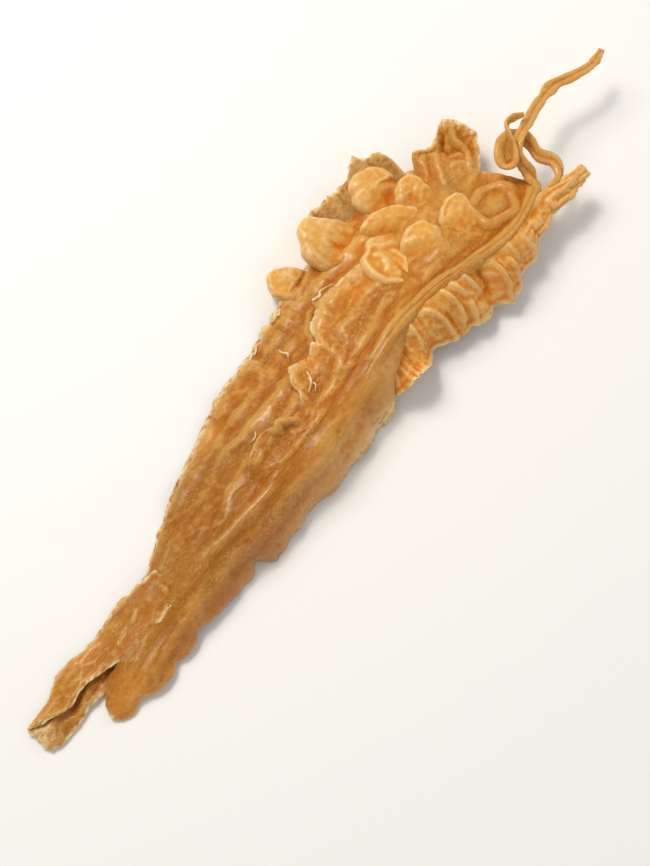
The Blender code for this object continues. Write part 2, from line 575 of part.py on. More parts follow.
def join(base, others):
    """The base united with all the others, and trimmed flat underneath."""
    collection = bpy.data.collections.new("joined")
    bpy.context.scene.collection.children.link(collection)
    for piece in others:
        collection.objects.link(piece)
    block = ground()
    boolean(base, "UNION", collection)
    boolean(base, "DIFFERENCE", block)
    graph = bpy.context.evaluated_depsgraph_get()
    mesh = bpy.data.meshes.new_from_object(base.evaluated_get(graph))
    for piece in others + [base, block]:
        bpy.data.objects.remove(piece)
    bpy.data.collections.remove(collection)
    return mesh


def islands(bm):
    """Groups of faces that hang together across edges of two faces."""
    groups, seen = [], set()
    for start in bm.faces:
        if start in seen:
            continue
        seen.add(start)
        group, queue = [], [start]
        while queue:
            face = queue.pop()
            group.append(face)
            for edge in face.edges:
                fresh = [other for other in edge.link_faces if other not in seen]
                if len(edge.link_faces) == 2:
                    seen.update(fresh)
                    queue.extend(fresh)
        groups.append(group)
    return groups


def finish(mesh):
    """Drops loose scraps and inner hollows, and moves the origin under the middle, in metres."""
    bm = bmesh.new()
    bm.from_mesh(mesh)
    groups = sorted(islands(bm), key=len)
    scraps = [face for group in groups[:-1] for face in group]
    bmesh.ops.delete(bm, geom=scraps, context="FACES")
    bmesh.ops.triangulate(bm, faces=bm.faces[:])
    for vert in bm.verts:
        vert.co = Vector((vert.co.x - MIDDLE[0], vert.co.y - MIDDLE[1], vert.co.z)) * MM
    bm.to_mesh(mesh)
    bm.free()


def dried_membrane():
    """Amber dried collagen, half glossy."""
    material = bpy.data.materials.new("dried_membrane")
    material.use_nodes = True
    shader = material.node_tree.nodes["Principled BSDF"]
    shader.inputs["Base Color"].default_value = AMBER
    shader.inputs["Roughness"].default_value = ROUGHNESS
    shader.inputs["Metallic"].default_value = 0.0
    return material


def build():
    for item in list(bpy.data.objects):
        bpy.data.objects.remove(item)
    shapes = all_shapes()
    base = shapes[0]
    bpy.context.scene.collection.objects.link(base)
    mesh = join(base, shapes[1:])
    finish(mesh)
    mesh.name = NAME
    mesh.shade_smooth()
    mesh.set_sharp_from_angle(angle=math.radians(SHARP_ANGLE))
    mesh.materials.clear()
    mesh.materials.append(dried_membrane())
    collection = bpy.data.collections.new("dried_fish_maw")
    bpy.context.scene.collection.children.link(collection)
    collection.objects.link(bpy.data.objects.new(NAME, mesh))


build()
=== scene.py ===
"""Looks of the dried cod fish maw: an air dried amber membrane with crisp pale edges.

The form repeats the solid's at a finer step, and adds the small creases, torn edges,
wrinkles and loose fibres that the solid leaves out. Form is worked out in millimetres,
X from the tail to the head, Y to the lobed side, Z up, and moved into the frame at the end.
"""

import math

import bmesh
import bpy
import numpy as np
from mathutils import Matrix, Vector, kdtree, noise


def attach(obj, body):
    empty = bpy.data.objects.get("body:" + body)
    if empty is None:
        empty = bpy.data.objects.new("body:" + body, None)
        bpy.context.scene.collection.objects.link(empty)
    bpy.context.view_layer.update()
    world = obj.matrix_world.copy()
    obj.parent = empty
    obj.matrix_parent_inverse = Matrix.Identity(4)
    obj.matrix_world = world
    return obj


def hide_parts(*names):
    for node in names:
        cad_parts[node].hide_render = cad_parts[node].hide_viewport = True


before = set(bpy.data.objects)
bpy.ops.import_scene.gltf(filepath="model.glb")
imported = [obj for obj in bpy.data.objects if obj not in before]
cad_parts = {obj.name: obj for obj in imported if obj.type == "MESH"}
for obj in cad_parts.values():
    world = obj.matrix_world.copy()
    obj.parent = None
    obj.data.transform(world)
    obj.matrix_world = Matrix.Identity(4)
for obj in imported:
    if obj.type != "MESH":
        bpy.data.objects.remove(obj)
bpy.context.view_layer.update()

NODE = "maw"
MM = 0.001

# Thickness of the dried membrane in the middle of each sheet, and what an edge keeps of it.
BLADE_THICK = 2.0
PLY_THICK = 1.4
FRILL_THICK = 1.0
FLAP_THICK = 1.5
TAIL_THICK = 1.5
EDGE_SHARE = 0.3

# Guide lines of the blade, tail to head. Each line has one point for each station. The
# falls bend the sheet between them, and the slopes are its lean at the edges in degrees.
RIDGE = [
    (-151, 3.5, 2.2), (-142, 4, 4), (-128, 6.5, 6.5), (-112, 8.5, 8.5), (-95, 9.5, 11),
    (-77, 9.8, 14), (-58, 8.5, 17), (-38, 7.2, 19.5), (-17, 7.2, 21.5), (6, 8.6, 23),
    (29, 11, 24), (51, 13.6, 24.3), (74, 12.2, 24.3), (96, 6.8, 24), (118, 2.6, 22.6),
    (134, 4.8, 20.8), (147, 9, 19),
]
LEFT = [
    (-149.5, 7, 0.3), (-144, 12, 0.3), (-132, 17.5, 3.2), (-114, 25.5, 4), (-97, 32.5, 2.2),
    (-80, 40, 0.2), (-61, 46.5, 2.4), (-40, 53, 0.2), (-17, 59.5, 2.6), (6, 62, 0.2),
    (29, 65, 2.6), (50, 68, 3.5), (74, 70, 4.5), (96, 69, 5), (113, 63, 6),
    (124, 59, 7.5), (131, 55, 9),
]
RIGHT = [
    (-150, 0.5, 0.3), (-143, -3, 0.3), (-128, -4.5, 2), (-112, -4, 2), (-95, -3.5, 2.8),
    (-78, -5, 1.6), (-56, -8, 0.2), (-37, -5.5, 2.4), (-16, -6, 0.2), (5, -6.5, 1.8),
    (27, -5, 1.0), (48, 7, 16), (73, 10.2, 21.5), (95, 5.2, 21.4), (114, 1.4, 20.2),
    (131, 3, 18.8), (144, 6, 17.8),
]
LEFT_FALL = 1.45
RIGHT_FALL = 2.1
LEFT_SLOPE, RIGHT_SLOPE = 14.0, 58.0
HEAD_BULGE = -1.0

# Relief of the blade: a rib of two cords, long creases (weaker on the right), broad waves,
# ruffled edges, torn edges, and a stretch of the left edge that is torn more.
RIB_HEIGHT, RIB_WIDTH, RIB_SPREAD = 1.7, 1.05, 1.25
RIB_FROM, RIB_TO = 18.0, 150.0
CREASE_HEIGHT, CREASE_LENGTH, CREASE_PITCH = 1.9, 60.0, 11.5
CREASE_ROUND = 0.06
CREASE_RIGHT, CREASE_AT_TAIL = 0.6, 0.35
WAVE_HEIGHT, WAVE_LENGTH = 2.6, 28.0
RUFFLE_HEIGHT, RUFFLE_LENGTH = 1.2, 22.0
TEAR_DEPTH, TEAR_LENGTH = 1.8, 10.0
CRISP_FROM, CRISP_TO = -4.0, 40.0
CRISP_DEPTH, CRISP_LENGTH = 1.8, 5.0

# Finer relief that only shows up close: height, length along the blade, pitch across it.
FINE_FOLDS = [(0.20, 26.0, 6.0), (0.08, 12.0, 2.6)]
FINE_AT_TAIL, FINE_AT_RIB = 0.4, 0.35
CRUMPLES = [(0.8, 14.0), (0.5, 7.5), (0.26, 3.8), (0.14, 1.9)]
CRUMPLE_STRETCH = 1.5
CRUMPLE_FROM, CRUMPLE_TO, CRUMPLE_LEAST = -60.0, 40.0, 0.6
FRAY_DEPTH, FRAY_LENGTH = 0.9, 1.6
CURL_HEIGHT, CURL_LENGTH = 1.1, 4.2

# Notches torn in the right edge: place along X, half length, depth.
NOTCHES = [
    (36, 5.5, 5.5), (-63, 3.8, 7.0), (-83, 3.5, 2.4), (-100, 3.8, 3.4), (-116, 3, 2.4), (-137, 4, 4),
]

# Dished swelling near the head, and how far it calms the other relief round it.
DISH_AT, DISH_RADIUS, DISH_HEIGHT, DISH_CALM = (126.0, 17.0), 9.2, 2.4, 0.8

# Upper ply: how far its free edge reaches from the ridge (0) to the left edge (1),
# and how high it stands off the blade there.
PLY_FROM, PLY_TO = -42.0, 78.0
PLY_REACH = [
    (-42, 0.30), (-30, 0.42), (-22, 0.45), (-15, 0.37), (-8, 0.29), (-2, 0.27), (1, 0.34),
    (4, 0.50), (9, 0.59), (14, 0.54), (18, 0.50), (22, 0.53), (25, 0.50), (29, 0.62),
    (33, 0.66), (38, 0.67), (41, 0.76), (44, 0.70), (50, 0.66), (60, 0.62), (70, 0.58), (78, 0.46),
]
PLY_LOW, PLY_LIFT = 1.7, 3.6
PLY_ROOT = 0.06
PLY_CURL, PLY_CURL_LENGTH = 0.9, 2.9

# Rolled rims on the ply's free edge: place along X, half length, height.
PLY_RIMS = [(-13, 6, 3.4), (9, 5, 2.2), (30, 8, 2.6), (45, 6, 2.0), (60, 7, 1.8)]
PLY_RIM_AT, PLY_RIM_WIDTH = 0.86, 0.13

# Frill down the right side, tail to head: root x, y, z, slope at the root and at the hem
# in degrees below level, and the width of the strip. It is a pressed band at the head.
FRILL = [
    (24, 8.6, 22.0, 55, 80, 14), (32, 10.4, 22.8, 60, 30, 19), (40, 11.6, 23.8, 58, -16, 21),
    (48, 12.6, 24.8, 45, 20, 22), (56, 12.8, 25.2, 28, 66, 23), (65, 12.0, 25.3, 20, 80, 24),
    (74, 11.8, 25.2, 16, 72, 26), (86, 9.2, 24.9, 15, 72, 26), (98, 6.4, 24.4, 13, 76, 26),
    (109, 4.2, 23.5, 8, 84, 22.5), (119, 3.0, 22.4, 0, 90, 18.6), (129, 4.2, 21.2, -12, 110, 19.6),
    (141, 5.6, 20.4, -34, 165, 24.6), (153, 1.8, 21.2, -48, 190, 20), (165, 0.2, 20.6, -52, 200, 15),
]

# Folds across the frill: place along X at the root and at the hem, bow towards the head,
# the shares of the way to the hem where it starts and stops, height (below 0 for a hollow)
# and half width.
FRILL_FOLDS = [
    (37, 33, 0.5, 0.1, 1.3, 1.4, 2.4), (47, 43, 0.5, 0.2, 1.3, -2.0, 3.0),
    (55, 51, 0.8, 0.0, 0.8, 2.2, 2.4), (60, 58, 0.4, 0.0, 0.5, -1.2, 1.6),
    (64, 68, 1.8, 0.0, 1.3, 3.2, 2.4), (70, 71, 0.8, 0.3, 1.3, -2.2, 2.0),
    (76, 73, 2.0, 0.0, 0.95, 3.8, 1.7), (81.5, 82, 0.8, -0.1, 0.5, 2.4, 1.6),
    (87, 90, 1.0, -0.1, 0.6, 2.8, 1.9), (84, 80, 0.8, 0.4, 1.3, 2.2, 1.5),
    (95, 92, 0.8, 0.0, 0.9, -4.0, 4.4), (101, 98, 2.2, 0.15, 1.3, 3.4, 1.3),
    (106, 106, 2.4, 0.25, 1.3, 3.4, 1.6), (113, 110, 0.6, 0.0, 0.6, 1.8, 2.2),
    (119, 121, 0.6, 0.1, 1.0, 1.5, 2.6), (126, 127, 0.5, 0.2, 1.3, -1.2, 2.0),
    (133, 131, 0.5, 0.2, 1.3, 0.9, 2.4), (141, 138, 0.5, 0.2, 1.3, -0.9, 1.6),
    (150, 153, 0.5, 0.2, 1.3, 0.9, 1.8), (158, 156, 0.5, 0.2, 1.3, -0.8, 1.2),
]

# A fold's gentle and steep side, what it loses at the hem, and the round of its crest.
FOLD_LONG_SIDE, FOLD_STEEP_SIDE, FOLD_LOSS_AT_HEM = 1.3, 0.55, 0.5
FIN_ROUND = 0.2

# Lobes of the hem: place along X, half length, and how far it swings out.
HEM_LOBES = [
    (46, 6, 1.6), (58, 4, -2.2), (71.5, 4.5, 1.6), (77.5, 2.5, -1.4), (84, 4, 2.6),
    (91.5, 3, -2.2), (101, 6, 2.2), (111, 3.5, -1.6), (121, 4, 1.2), (129, 3, -1.4), (146, 5, 1.0),
]
FRILL_LIP, FRILL_LIP_FROM = 1.5, 0.86
FRILL_CRUMPLES = [(0.6, 7.0), (0.25, 3.0)]
FRILL_STEPS = 14
FRILL_SWELL, FRILL_SWELL_SIZE = 0.35, 4.5
FRILL_PRESSED, FRILL_PRESSED_FROM, FRILL_PRESSED_TO = 0.5, 116.0, 134.0
BAND_CREASE, BAND_CREASE_LENGTH, BAND_CREASE_PITCH = 0.8, 15.0, 3.4
BAND_SWELL, BAND_SWELL_LENGTH = 0.5, 7.0

# Pouches: middle, how far it stands off the blade, half length and half width, height above
# and below the middle, the side that stands free and by how many degrees it is raised, dent
# (share of the height) and rim height.
POUCHES = {
    "margin_small": ((43, 68.5), 2.5, (9.5, 8.5), (4.6, 6.4), 140, 12, 0.10, 0.3),
    "margin_broad": ((67.5, 64), 3.5, (15.8, 12.6), (6.6, 9.0), 112, 12, 0.04, 0.2),
    "margin_torn": ((101.5, 64), 3.5, (13.4, 12.0), (6.4, 10.0), 96, 10, 0.08, 0.2),
    "margin_fold": ((108.2, 49), 3.0, (9.6, 8.6), (4.2, 5.0), 66, 10, 0.14, 0.4),
    "inner_tear": ((110, 25.5), 0.6, (11.5, 8.6), (5.0, 3.0), 60, 12, 0.06, 0.4),
    "inner_lobe": ((89.6, 29.6), 0.8, (10.4, 10.0), (5.4, 3.0), 50, 8, 0.05, 0.3),
    "inner_ear": ((77.4, 36.2), 1.0, (14.8, 14.4), (5.2, 4.0), 178, 12, 0.32, 1.3),
    "band_fold": ((92, 48.5), 0.6, (7.6, 14.5), (3.0, 3.0), 54, 13, 0.0, 0.2),
}

# How much each pouch narrows at its root, strays from an oval, sinks into the blade, bulges
# (below 1 is fuller than a ball), and where its dent, its rim and its pale edge lie from its
# middle (0) to its outline (1). At its root it is pressed flat and loses its paleness.
POUCH_NECK = 0.35
POUCH_OUTLINE = 0.10
POUCH_SUNK = 0.5
POUCH_BULGE = 0.75
POUCH_DENT_WIDTH = 0.55
POUCH_RIM_AT, POUCH_RIM_WIDTH = 0.86, 0.11
# The pale edge, on the upper face of the free rim that faces the light, is partly crisp dried edge and partly
# painted highlight.
POUCH_EDGE_AT, POUCH_EDGE_WIDTH, POUCH_EDGE_SHARE = 0.93, 0.06, 0.15
POUCH_ROOT_FROM, POUCH_ROOT_TO, POUCH_ROOT_PUFF = -0.85, 0.2, 0.04
POUCH_ROOT_FROM_TONE, POUCH_ROOT_TO_TONE, POUCH_ROOT_LOSS = 0.1, 0.9, 0.85
POUCH_SWELLS = [(0.45, 6.0), (0.12, 2.4)]
POUCH_CRUMPLES = [(0.12, 5.5), (0.06, 2.4)]

# Listed folds: from and to, as x and y, the bow of the line to its left, height
# (below 0 for a groove) and half width. The shares are what is kept of the heights.
BLADE_FOLD_SHARE = 0.45
POUCH_FOLD_SHARE = 0.42
POUCH_FOLDS = {
    "margin_small": [(36, 70, 46, 64, 1, -0.7, 1.1), (47, 73, 50, 64, -1, -1, 1.1)],
    "margin_broad": [
        (76, 53, 67, 65, 1.8, -1.5, 1.1), (70, 50, 66, 62, -1.6, -1.4, 1.1),
        (73.5, 52, 68, 62, 0.3, 0.9, 1.3), (80, 57, 74, 68, 2.4, -0.6, 1.1),
        (57, 65, 60, 54, -1.5, -0.8, 1), (60, 66, 63, 56, -1.6, -0.6, 1.1),
    ],
    "margin_torn": [
        (92, 56, 99, 60, 1.5, -0.9, 1.5), (99, 53, 106, 60, 1.6, -0.8, 1.4),
        (90, 70, 104, 75, -4, 0.3, 1.6), (108, 71, 112, 60, -2, -0.7, 1.4),
    ],
    "margin_fold": [
        (103, 42, 112, 52, 2, -1.2, 1.5), (106, 41, 114, 48, 1.4, 1.0, 1.1),
        (101, 46, 107, 55, 1.6, 1.0, 1.2),
    ],
    "inner_tear": [
        (101, 22, 112, 32, 2.4, -0.7, 1.3), (105, 18, 116, 28, 1.6, 0.7, 1.2),
        (108, 17, 117, 23, 1, -0.6, 1.1),
    ],
    "inner_lobe": [(85, 36, 93, 29, 2.2, -0.4, 1.4), (83, 26, 91, 22, -1.6, -0.5, 1.4)],
    "inner_ear": [
        (74, 48, 84, 42, -1, 1.6, 1.4), (72, 44.5, 82, 39.5, -0.8, -1.0, 1.6),
        (72.5, 43, 70.5, 34, 2, 2.4, 1.7), (90, 42.5, 84, 35, 1, -2.2, 1.6),
        (84, 35, 82, 26, -1, -2.0, 1.5), (80, 39, 78, 29, 1.4, 2.0, 1.6),
        (75, 35, 73.5, 27, 0.6, -1.2, 1.3),
    ],
    "band_fold": [(84, 56, 100, 41, 1.0, -0.5, 1.4)],
}
BLADE_FOLDS = [
    (42, 52, 25, 37, -3.4, 1.4, 1.3), (38, 48, 24, 33, -3.0, -1.2, 1.6),
    (66, 24, 20, 17, 2.0, -1.6, 1.7), (88, 19, 40, 21, 1.6, 1.1, 1.5), (105, 13, 60, 21, 1.4, -1.1, 1.3),
    (30, 25, -15, 18, 2.4, 1.5, 2.2), (10, 20, -40, 14, 1.8, -1.5, 2.2),
    (-10, 30, -60, 19, -2.4, 1.4, 2.4), (-40, 40, -90, 28, -2.0, -1.3, 2.6),
    (-30, 12, -75, 14, 1.8, 1.2, 2.0), (-60, 22, -110, 17, 2.0, -1.2, 2.2),
    (-75, 33, -104, 24, 1.0, 1.2, 1.8), (-98.5, 29, -97.5, 18, 0.8, 1.6, 0.7),
    (-110.5, 24.5, -116.5, 21.5, 0.6, 1.6, 0.8), (20, 6, -25, 2, 1.0, 1.2, 1.6),
    (-30, 0, -70, 1, 1.4, -1.0, 1.6), (0, 45, -30, 44, 3.0, -1.4, 2.4), (30, 58, 0, 54, 2.0, 1.2, 2.0),
    (-115, 14, -142, 6, 1.5, 1.0, 1.6), (-100, 6, -130, 1, -1.0, -0.9, 1.4),
]
FLAP_FOLDS = [
    (148, 57, 143, 47.5, -1.2, 2.4, 1.0), (143.4, 48.5, 135, 37.5, 1.0, 2.2, 1.0),
    (141, 57, 136, 45, -0.8, -1.6, 2.6), (130, 58, 118, 42, -0.8, -2.0, 1.3),
    (133, 55.5, 121, 40, -0.6, 1.5, 1.4), (135, 49, 139.5, 45, 1.0, 1.4, 0.8),
    (131, 45, 137, 40.5, 1.2, 1.2, 0.8), (127, 61, 132, 57, 0.6, -1.2, 1.0),
    (139, 60.5, 144, 61, 0.4, 1.2, 0.9),
]

# Crumpled head flap: its right and left side lines, root to tip.
FLAP_RIGHT = [(116, 31, 15.0), (126, 31.5, 14.6), (136, 33, 14.4), (144.5, 39, 13.2), (151.5, 47, 12)]
FLAP_LEFT = [(112, 56, 9), (119.5, 56.5, 9.4), (126.5, 63.5, 11), (133.5, 59.5, 11), (147, 62.5, 12.5)]
FLAP_SWELL, FLAP_SUNK_ROOT, FLAP_LATE = 2.2, 2.0, 0.25
FLAP_RIM, FLAP_HOLLOW, FLAP_BOW = 3.6, 2.2, 2.0
FLAP_FOLDS_AT_ROOT, FLAP_CRUMPLES_AT_ROOT = 0.45, 0.7

# Crumples of its free part and of all of it, and how its outline strays: height or reach,
# size in millimetres, and the seeds of the draw.
FLAP_BIG_CRUMPLE = (0.96, 9.0, 3.3)
FLAP_CRUMPLES = [(0.5, 4.6, 8.1), (0.18, 2.0, 4.4)]
FLAP_STRAY = [(1.5, 7.0, 6.1, 1.1), (0.5, 2.2, 7.7, 2.7)]

# Thin web between the margin pouches, with a torn rim: its root line and its free line.
WEB_ROOT = [(64, 63, 7), (76, 63, 7), (90, 61, 7.5), (104, 60, 8.5), (117, 56, 10)]
WEB_FREE = [
    (64, 75, 7.5), (73, 82, 8), (82, 80.5, 10), (91, 79.5, 10), (99, 79.5, 12),
    (105.5, 83, 15), (109, 78.5, 15.5), (115.5, 75, 15), (117, 67, 13),
]
WEB_THICK = 1.2
WEB_TEAR, WEB_FRAY, WEB_STRAY = 1.4, 1.4, 0.9
WEB_WAVE, WEB_WAVE_LENGTH = 1.6, 2.6
WEB_CRUMPLE, WEB_CRUMPLE_SIZE = 0.8, 3.6

# Folded tail tongue: lower ply between its two side lines, upper ply up to its fold.
TONGUE_LEFT = [
    (-93, 29, 6), (-104, 31.5, 3.4), (-116, 32.5, 2.2), (-130, 30.5, 1.6), (-142, 31.5, 1.4),
    (-152, 32.5, 1.4), (-161, 29, 1.5), (-168, 27.5, 1.8), (-176.5, 27, 1.6),
]
TONGUE_RIGHT = [
    (-95, 10, 10.5), (-106, 9, 6.5), (-118, 8, 3), (-131, 8.5, 1.6), (-144, 11.5, 1.4),
    (-152, 12.5, 1.6), (-161, 11.5, 1.4), (-170, 11.5, 1.4), (-177, 14, 1.4),
]
TONGUE_FOLD = [
    (-95, 13, 10.0), (-106, 12.5, 8.2), (-118, 12.5, 6), (-130, 14.5, 5.4), (-140, 17.5, 5.4),
    (-149, 19.5, 5.6), (-157, 18.2, 5.4), (-165, 20.5, 4.6), (-171.5, 24, 4.0),
]
TONGUE_WAVE = 1.1
TONGUE_CREASE, TONGUE_CREASE_LENGTH, TONGUE_CREASE_PITCH = 0.35, 22.0, 4.5
TONGUE_CRUMPLE, TONGUE_CRUMPLE_SIZE, TONGUE_CRUMPLE_STRETCH = 0.6, 4.0, 1.8
TONGUE_STRAY, TONGUE_FRAY, TONGUE_TEAR = 0.8, 0.3, 1.2

# Horns: dried cords that stand off the head, as x, y, z and half width.
HORN_LOOP = [
    (140, 2, 17, 3.6), (148, 3, 19, 3.4), (155, 3, 20.5, 3.2), (159, 9, 21.5, 3.1),
    (156.5, 16, 22.5, 3.2), (158, 23, 24, 3.3), (156.5, 28, 26, 3.4), (151.5, 30.5, 27, 3.8),
    (146, 28.5, 26.5, 4.4), (142.5, 24, 25, 4.4), (144.5, 21.5, 27.0, 3.6),
    (148.5, 25, 30.5, 3.0), (151, 29.5, 33, 2.4), (154, 34, 33.5, 2.2), (158, 34, 33.5, 2.0),
    (163, 31, 33.5, 1.4),
]
HORN_LONG = [
    (139, 4, 15, 4.0), (144, 7, 18.5, 3.8), (146.5, 13.5, 22.5, 3.3), (147, 20, 27, 2.9),
    (152, 26, 30, 2.7), (163, 28.5, 29.5, 2.7), (172, 30.5, 28, 2.7), (180, 31.5, 26.5, 2.9),
    (188, 31.5, 26, 3.0), (197.5, 27.8, 25, 2.7), (207, 25, 24, 2.3), (214, 25.2, 23.3, 2.2),
    (218, 26, 23, 1.5),
]

# Section of the cords: flatness, three blunt corners and a groove. Along them the width
# swells and pinches and the section twists, over lengths in millimetres.
HORN_FLAT, HORN_CORNERS = 0.56, 0.12
HORN_GROOVE, HORN_GROOVE_WIDTH = 0.7, 0.5
HORN_SWELL, HORN_SWELL_LENGTH = 0.25, 6.0
HORN_PINCH, HORN_PINCH_LENGTH = 0.12, 2.2
HORN_TWIST, HORN_TWIST_LENGTH = 3.4, 20.0

# Torn threads that stand off the surface, as x, y, height above the blade, half width.
THREADS = [
    [(14.5, 50, 2.4, 0.25), (13.6, 47.4, 4.0, 0.40), (14.4, 45, 4.6, 0.40), (11.9, 42.6, 3.6, 0.20)],
    [(11.8, 32.4, 4.6, 0.20), (10.6, 30, 6.0, 0.35), (8.4, 26.9, 6.2, 0.45), (4.3, 25, 4.2, 0.20)],
    [(8.6, 27.2, 5.4, 0.20), (8.6, 24.6, 6.6, 0.30), (6.4, 23.2, 5.0, 0.20)],
    [(-22, 33, 2.0, 0.20), (-24, 31, 3.2, 0.35), (-27.5, 31.4, 2.6, 0.20)],
    [(40.0, 52.5, 6.2, 0.3), (43.5, 50.9, 7.0, 0.6), (45.4, 52.0, 7.4, 0.4), (51.5, 50.0, 5.6, 0.3)],
    [
        (21.5, 60.6, 1.2, 0.3), (23.6, 62.4, 2.2, 0.6), (24.8, 61.4, 2.8, 0.5), (27.4, 63.0, 2.4, 0.7),
        (28.2, 61.4, 2.6, 0.4), (32.4, 64.6, 1.4, 0.3),
    ],
    [(4.5, 58.6, 1.2, 0.3), (7.6, 60.2, 2.4, 0.6), (8.6, 59.2, 2.6, 0.4), (12.6, 61.4, 1.2, 0.3)],
]
HORN_STEP = 1.0
HORN_SIDES = 18

# Faces of each sheet, along and across.
BLADE_GRID = (380, 72)
BLADE_ROWS_RIGHT = 18
BLADE_CROWD = 1.15
PLY_GRID = (180, 34)
FRILL_GRID = (280, 30)
FLAP_GRID = (56, 52)
WEB_GRID = (70, 24)
TAIL_GRID = (96, 26)
POUCH_GRID = (84, 44)
GROUND_SIZE = 600.0
WELD = 0.0001

# Join lines between shapes: how far off its source a vertex lies there, in millimetres,
# the rings of faces round the line that are rounded, and the passes over them.
SEAM_GAP = 0.01
SEAM_RINGS = 2
SEAM_PASSES = 6

# Lowest height of a sheet's middle where it runs along the surface.
SHEET_FLOOR = 0.8

# Middle of the outline, which is the frame's origin on the surface that the maw lies on.
MIDDLE = (20.68, 33.538)


def smooth(low, high, value):
    """0 below low, 1 above high, an S curve between."""
    part = min(max((value - low) / (high - low), 0.0), 1.0)
    return part * part * (3.0 - 2.0 * part)


def partly(least, share):
    """From least at share 0 to 1 at share 1."""
    return least + (1.0 - least) * share


def bump(value, width):
    """Bell of height 1 at 0."""
    return math.exp(-(value / width) ** 2)


def fin(value, width):
    """Thin crest of height 1 at 0, with hollow sides."""
    return math.exp((FIN_ROUND - math.hypot(value, FIN_ROUND)) / (0.8 * width))


def on_line(points, share):
    """Values at a share of a smooth line through rows of numbers."""
    last = len(points) - 1
    place = min(max(share, 0.0), 1.0) * last
    i = min(int(place), last - 1)
    t = place - i
    values = []
    for axis in range(len(points[0])):
        b, c = points[i][axis], points[i + 1][axis]
        a = points[i - 1][axis] if i > 0 else 2 * b - c
        d = points[i + 2][axis] if i + 2 <= last else 2 * c - b
        values.append(0.5 * (2 * b + (c - a) * t + (2 * a - 5 * b + 4 * c - d) * t * t
                             + (3 * b - a - 3 * c + d) * t ** 3))
    return values


def across(first, second, along, share):
    """Place at a share of the way from one smooth line to another."""
    start, end = on_line(first, along), on_line(second, along)
    return [start[i] + (end[i] - start[i]) * share for i in range(3)]


def between(pairs, x):
    """Value at x on a smooth line through pairs that rise in x."""
    low, high = 0, len(pairs) - 1
    while high - low > 1:
        mid = (low + high) // 2
        low, high = (mid, high) if pairs[mid][0] <= x else (low, mid)
    part = smooth(pairs[low][0], pairs[high][0], x)
    return pairs[low][1] + (pairs[high][1] - pairs[low][1]) * part


def rough(x, y, z=0.0):
    """Smooth random value between about -1 and 1."""
    return noise.noise(Vector((x, y, z)))


def laid_folds(x, y, folds):
    """Height of the listed folds at a place seen from above."""
    height = 0.0
    for x1, y1, x2, y2, bow, high, half in folds:
        run_x, run_y = x2 - x1, y2 - y1
        length = math.hypot(run_x, run_y)
        share = ((x - x1) * run_x + (y - y1) * run_y) / length ** 2
        if not -0.2 < share < 1.2:
            continue
        off = ((y - y1) * run_x - (x - x1) * run_y) / length - 4.0 * bow * share * (1.0 - share)
        if abs(off) < 3.0 * half:
            height += high * bump(off, half) * smooth(-0.2, 0.2, share) * (1.0 - smooth(0.8, 1.2, share))
    return height


def creased(x, y, length, pitch, seed):
    """Sharp crests and round valleys, stretched along X, between about -1 and 1."""
    drift = 0.7 * rough(x / (1.6 * length), y / (2.2 * pitch), seed + 11.0)
    return 0.9 - 4.0 * math.hypot(rough(x / length, y / pitch + drift, seed), CREASE_ROUND)


def crumpled(x, y, size, seed):
    """Thin crests between flat facets, like crumpled film, between about -0.5 and 0.5."""
    near = noise.voronoi(Vector((x / size, y / size, seed)))[0]
    return math.exp(-3.2 * (near[1] - near[0])) - 0.45


def rib_relief(x, off_ridge):
    """Two thin cords side by side that fade in towards the tail and out at the head."""
    ends = smooth(RIB_FROM, RIB_FROM + 30.0, x) * (1.0 - smooth(RIB_TO - 8.0, RIB_TO, x))
    off = off_ridge - 0.4 - 0.7 * rough(x / 16.0, 3.3)
    apart = RIB_SPREAD * (1.0 + 0.5 * rough(x / 21.0, 6.1))
    left = (1.0 + 0.5 * rough(x / 11.0, 1.9)) * bump(off - apart, RIB_WIDTH)
    right = (0.9 + 0.5 * rough(x / 13.0, 8.4)) * bump(off + apart, RIB_WIDTH)
    return ends * RIB_HEIGHT * (0.35 * bump(off, 2.0 * RIB_SPREAD) + 0.7 * max(left, right))


def crease_relief(x, off_ridge, share):
    """Long sharp creases that run with the blade."""
    drift = 3.0 * rough(x / 80.0, 7.7)
    folds = math.hypot(rough(x / CREASE_LENGTH, (off_ridge + drift) / CREASE_PITCH, 2.4), CREASE_ROUND)
    side = 1.0 - (1.0 - CREASE_RIGHT) * smooth(0.0, 0.3, -share)
    return side * CREASE_HEIGHT * (0.5 - 1.6 * folds)


def fine_relief(x, y, seed):
    """Fine lengthwise folds and small crumples."""
    relief = sum(high * creased(x, y, length, pitch, seed) for high, length, pitch in FINE_FOLDS)
    patch = 0.55 + 0.9 * rough(x / 23.0, y / 16.0, seed + 5.0)
    relief *= max(patch, 0.15)
    drift = 2.0 * rough(x / 14.0, y / 9.0, seed + 7.0)
    share = partly(CRUMPLE_LEAST, smooth(CRUMPLE_FROM, CRUMPLE_TO, x))
    return relief + share * sum(high * crumpled((x + drift) / CRUMPLE_STRETCH, y + drift, size, seed)
                                for high, size in CRUMPLES)


def edge_relief(x, share):
    """Small ruffles that grow towards both edges, and tight curls at the very edge."""
    side = math.copysign(1.0, share)
    swing = math.sin(2 * math.pi * x / RUFFLE_LENGTH + 5.0 * rough(x / 26.0, side))
    ruffle = RUFFLE_HEIGHT * (0.6 + rough(x / 22.0, 4.0 + side)) * swing * abs(share) ** 3
    crisp = 0.5 + 1.6 * crisp_share(x, side)
    return ruffle + crisp * CURL_HEIGHT * rough(x / CURL_LENGTH, 8.0 * side) * abs(share) ** 14


def crisp_share(x, side):
    """1 on the stretch of the left edge that dried crisp and torn."""
    if side < 0:
        return 0.0
    return smooth(CRISP_FROM - 5, CRISP_FROM, x) * (1 - smooth(CRISP_TO - 5, CRISP_TO, x))


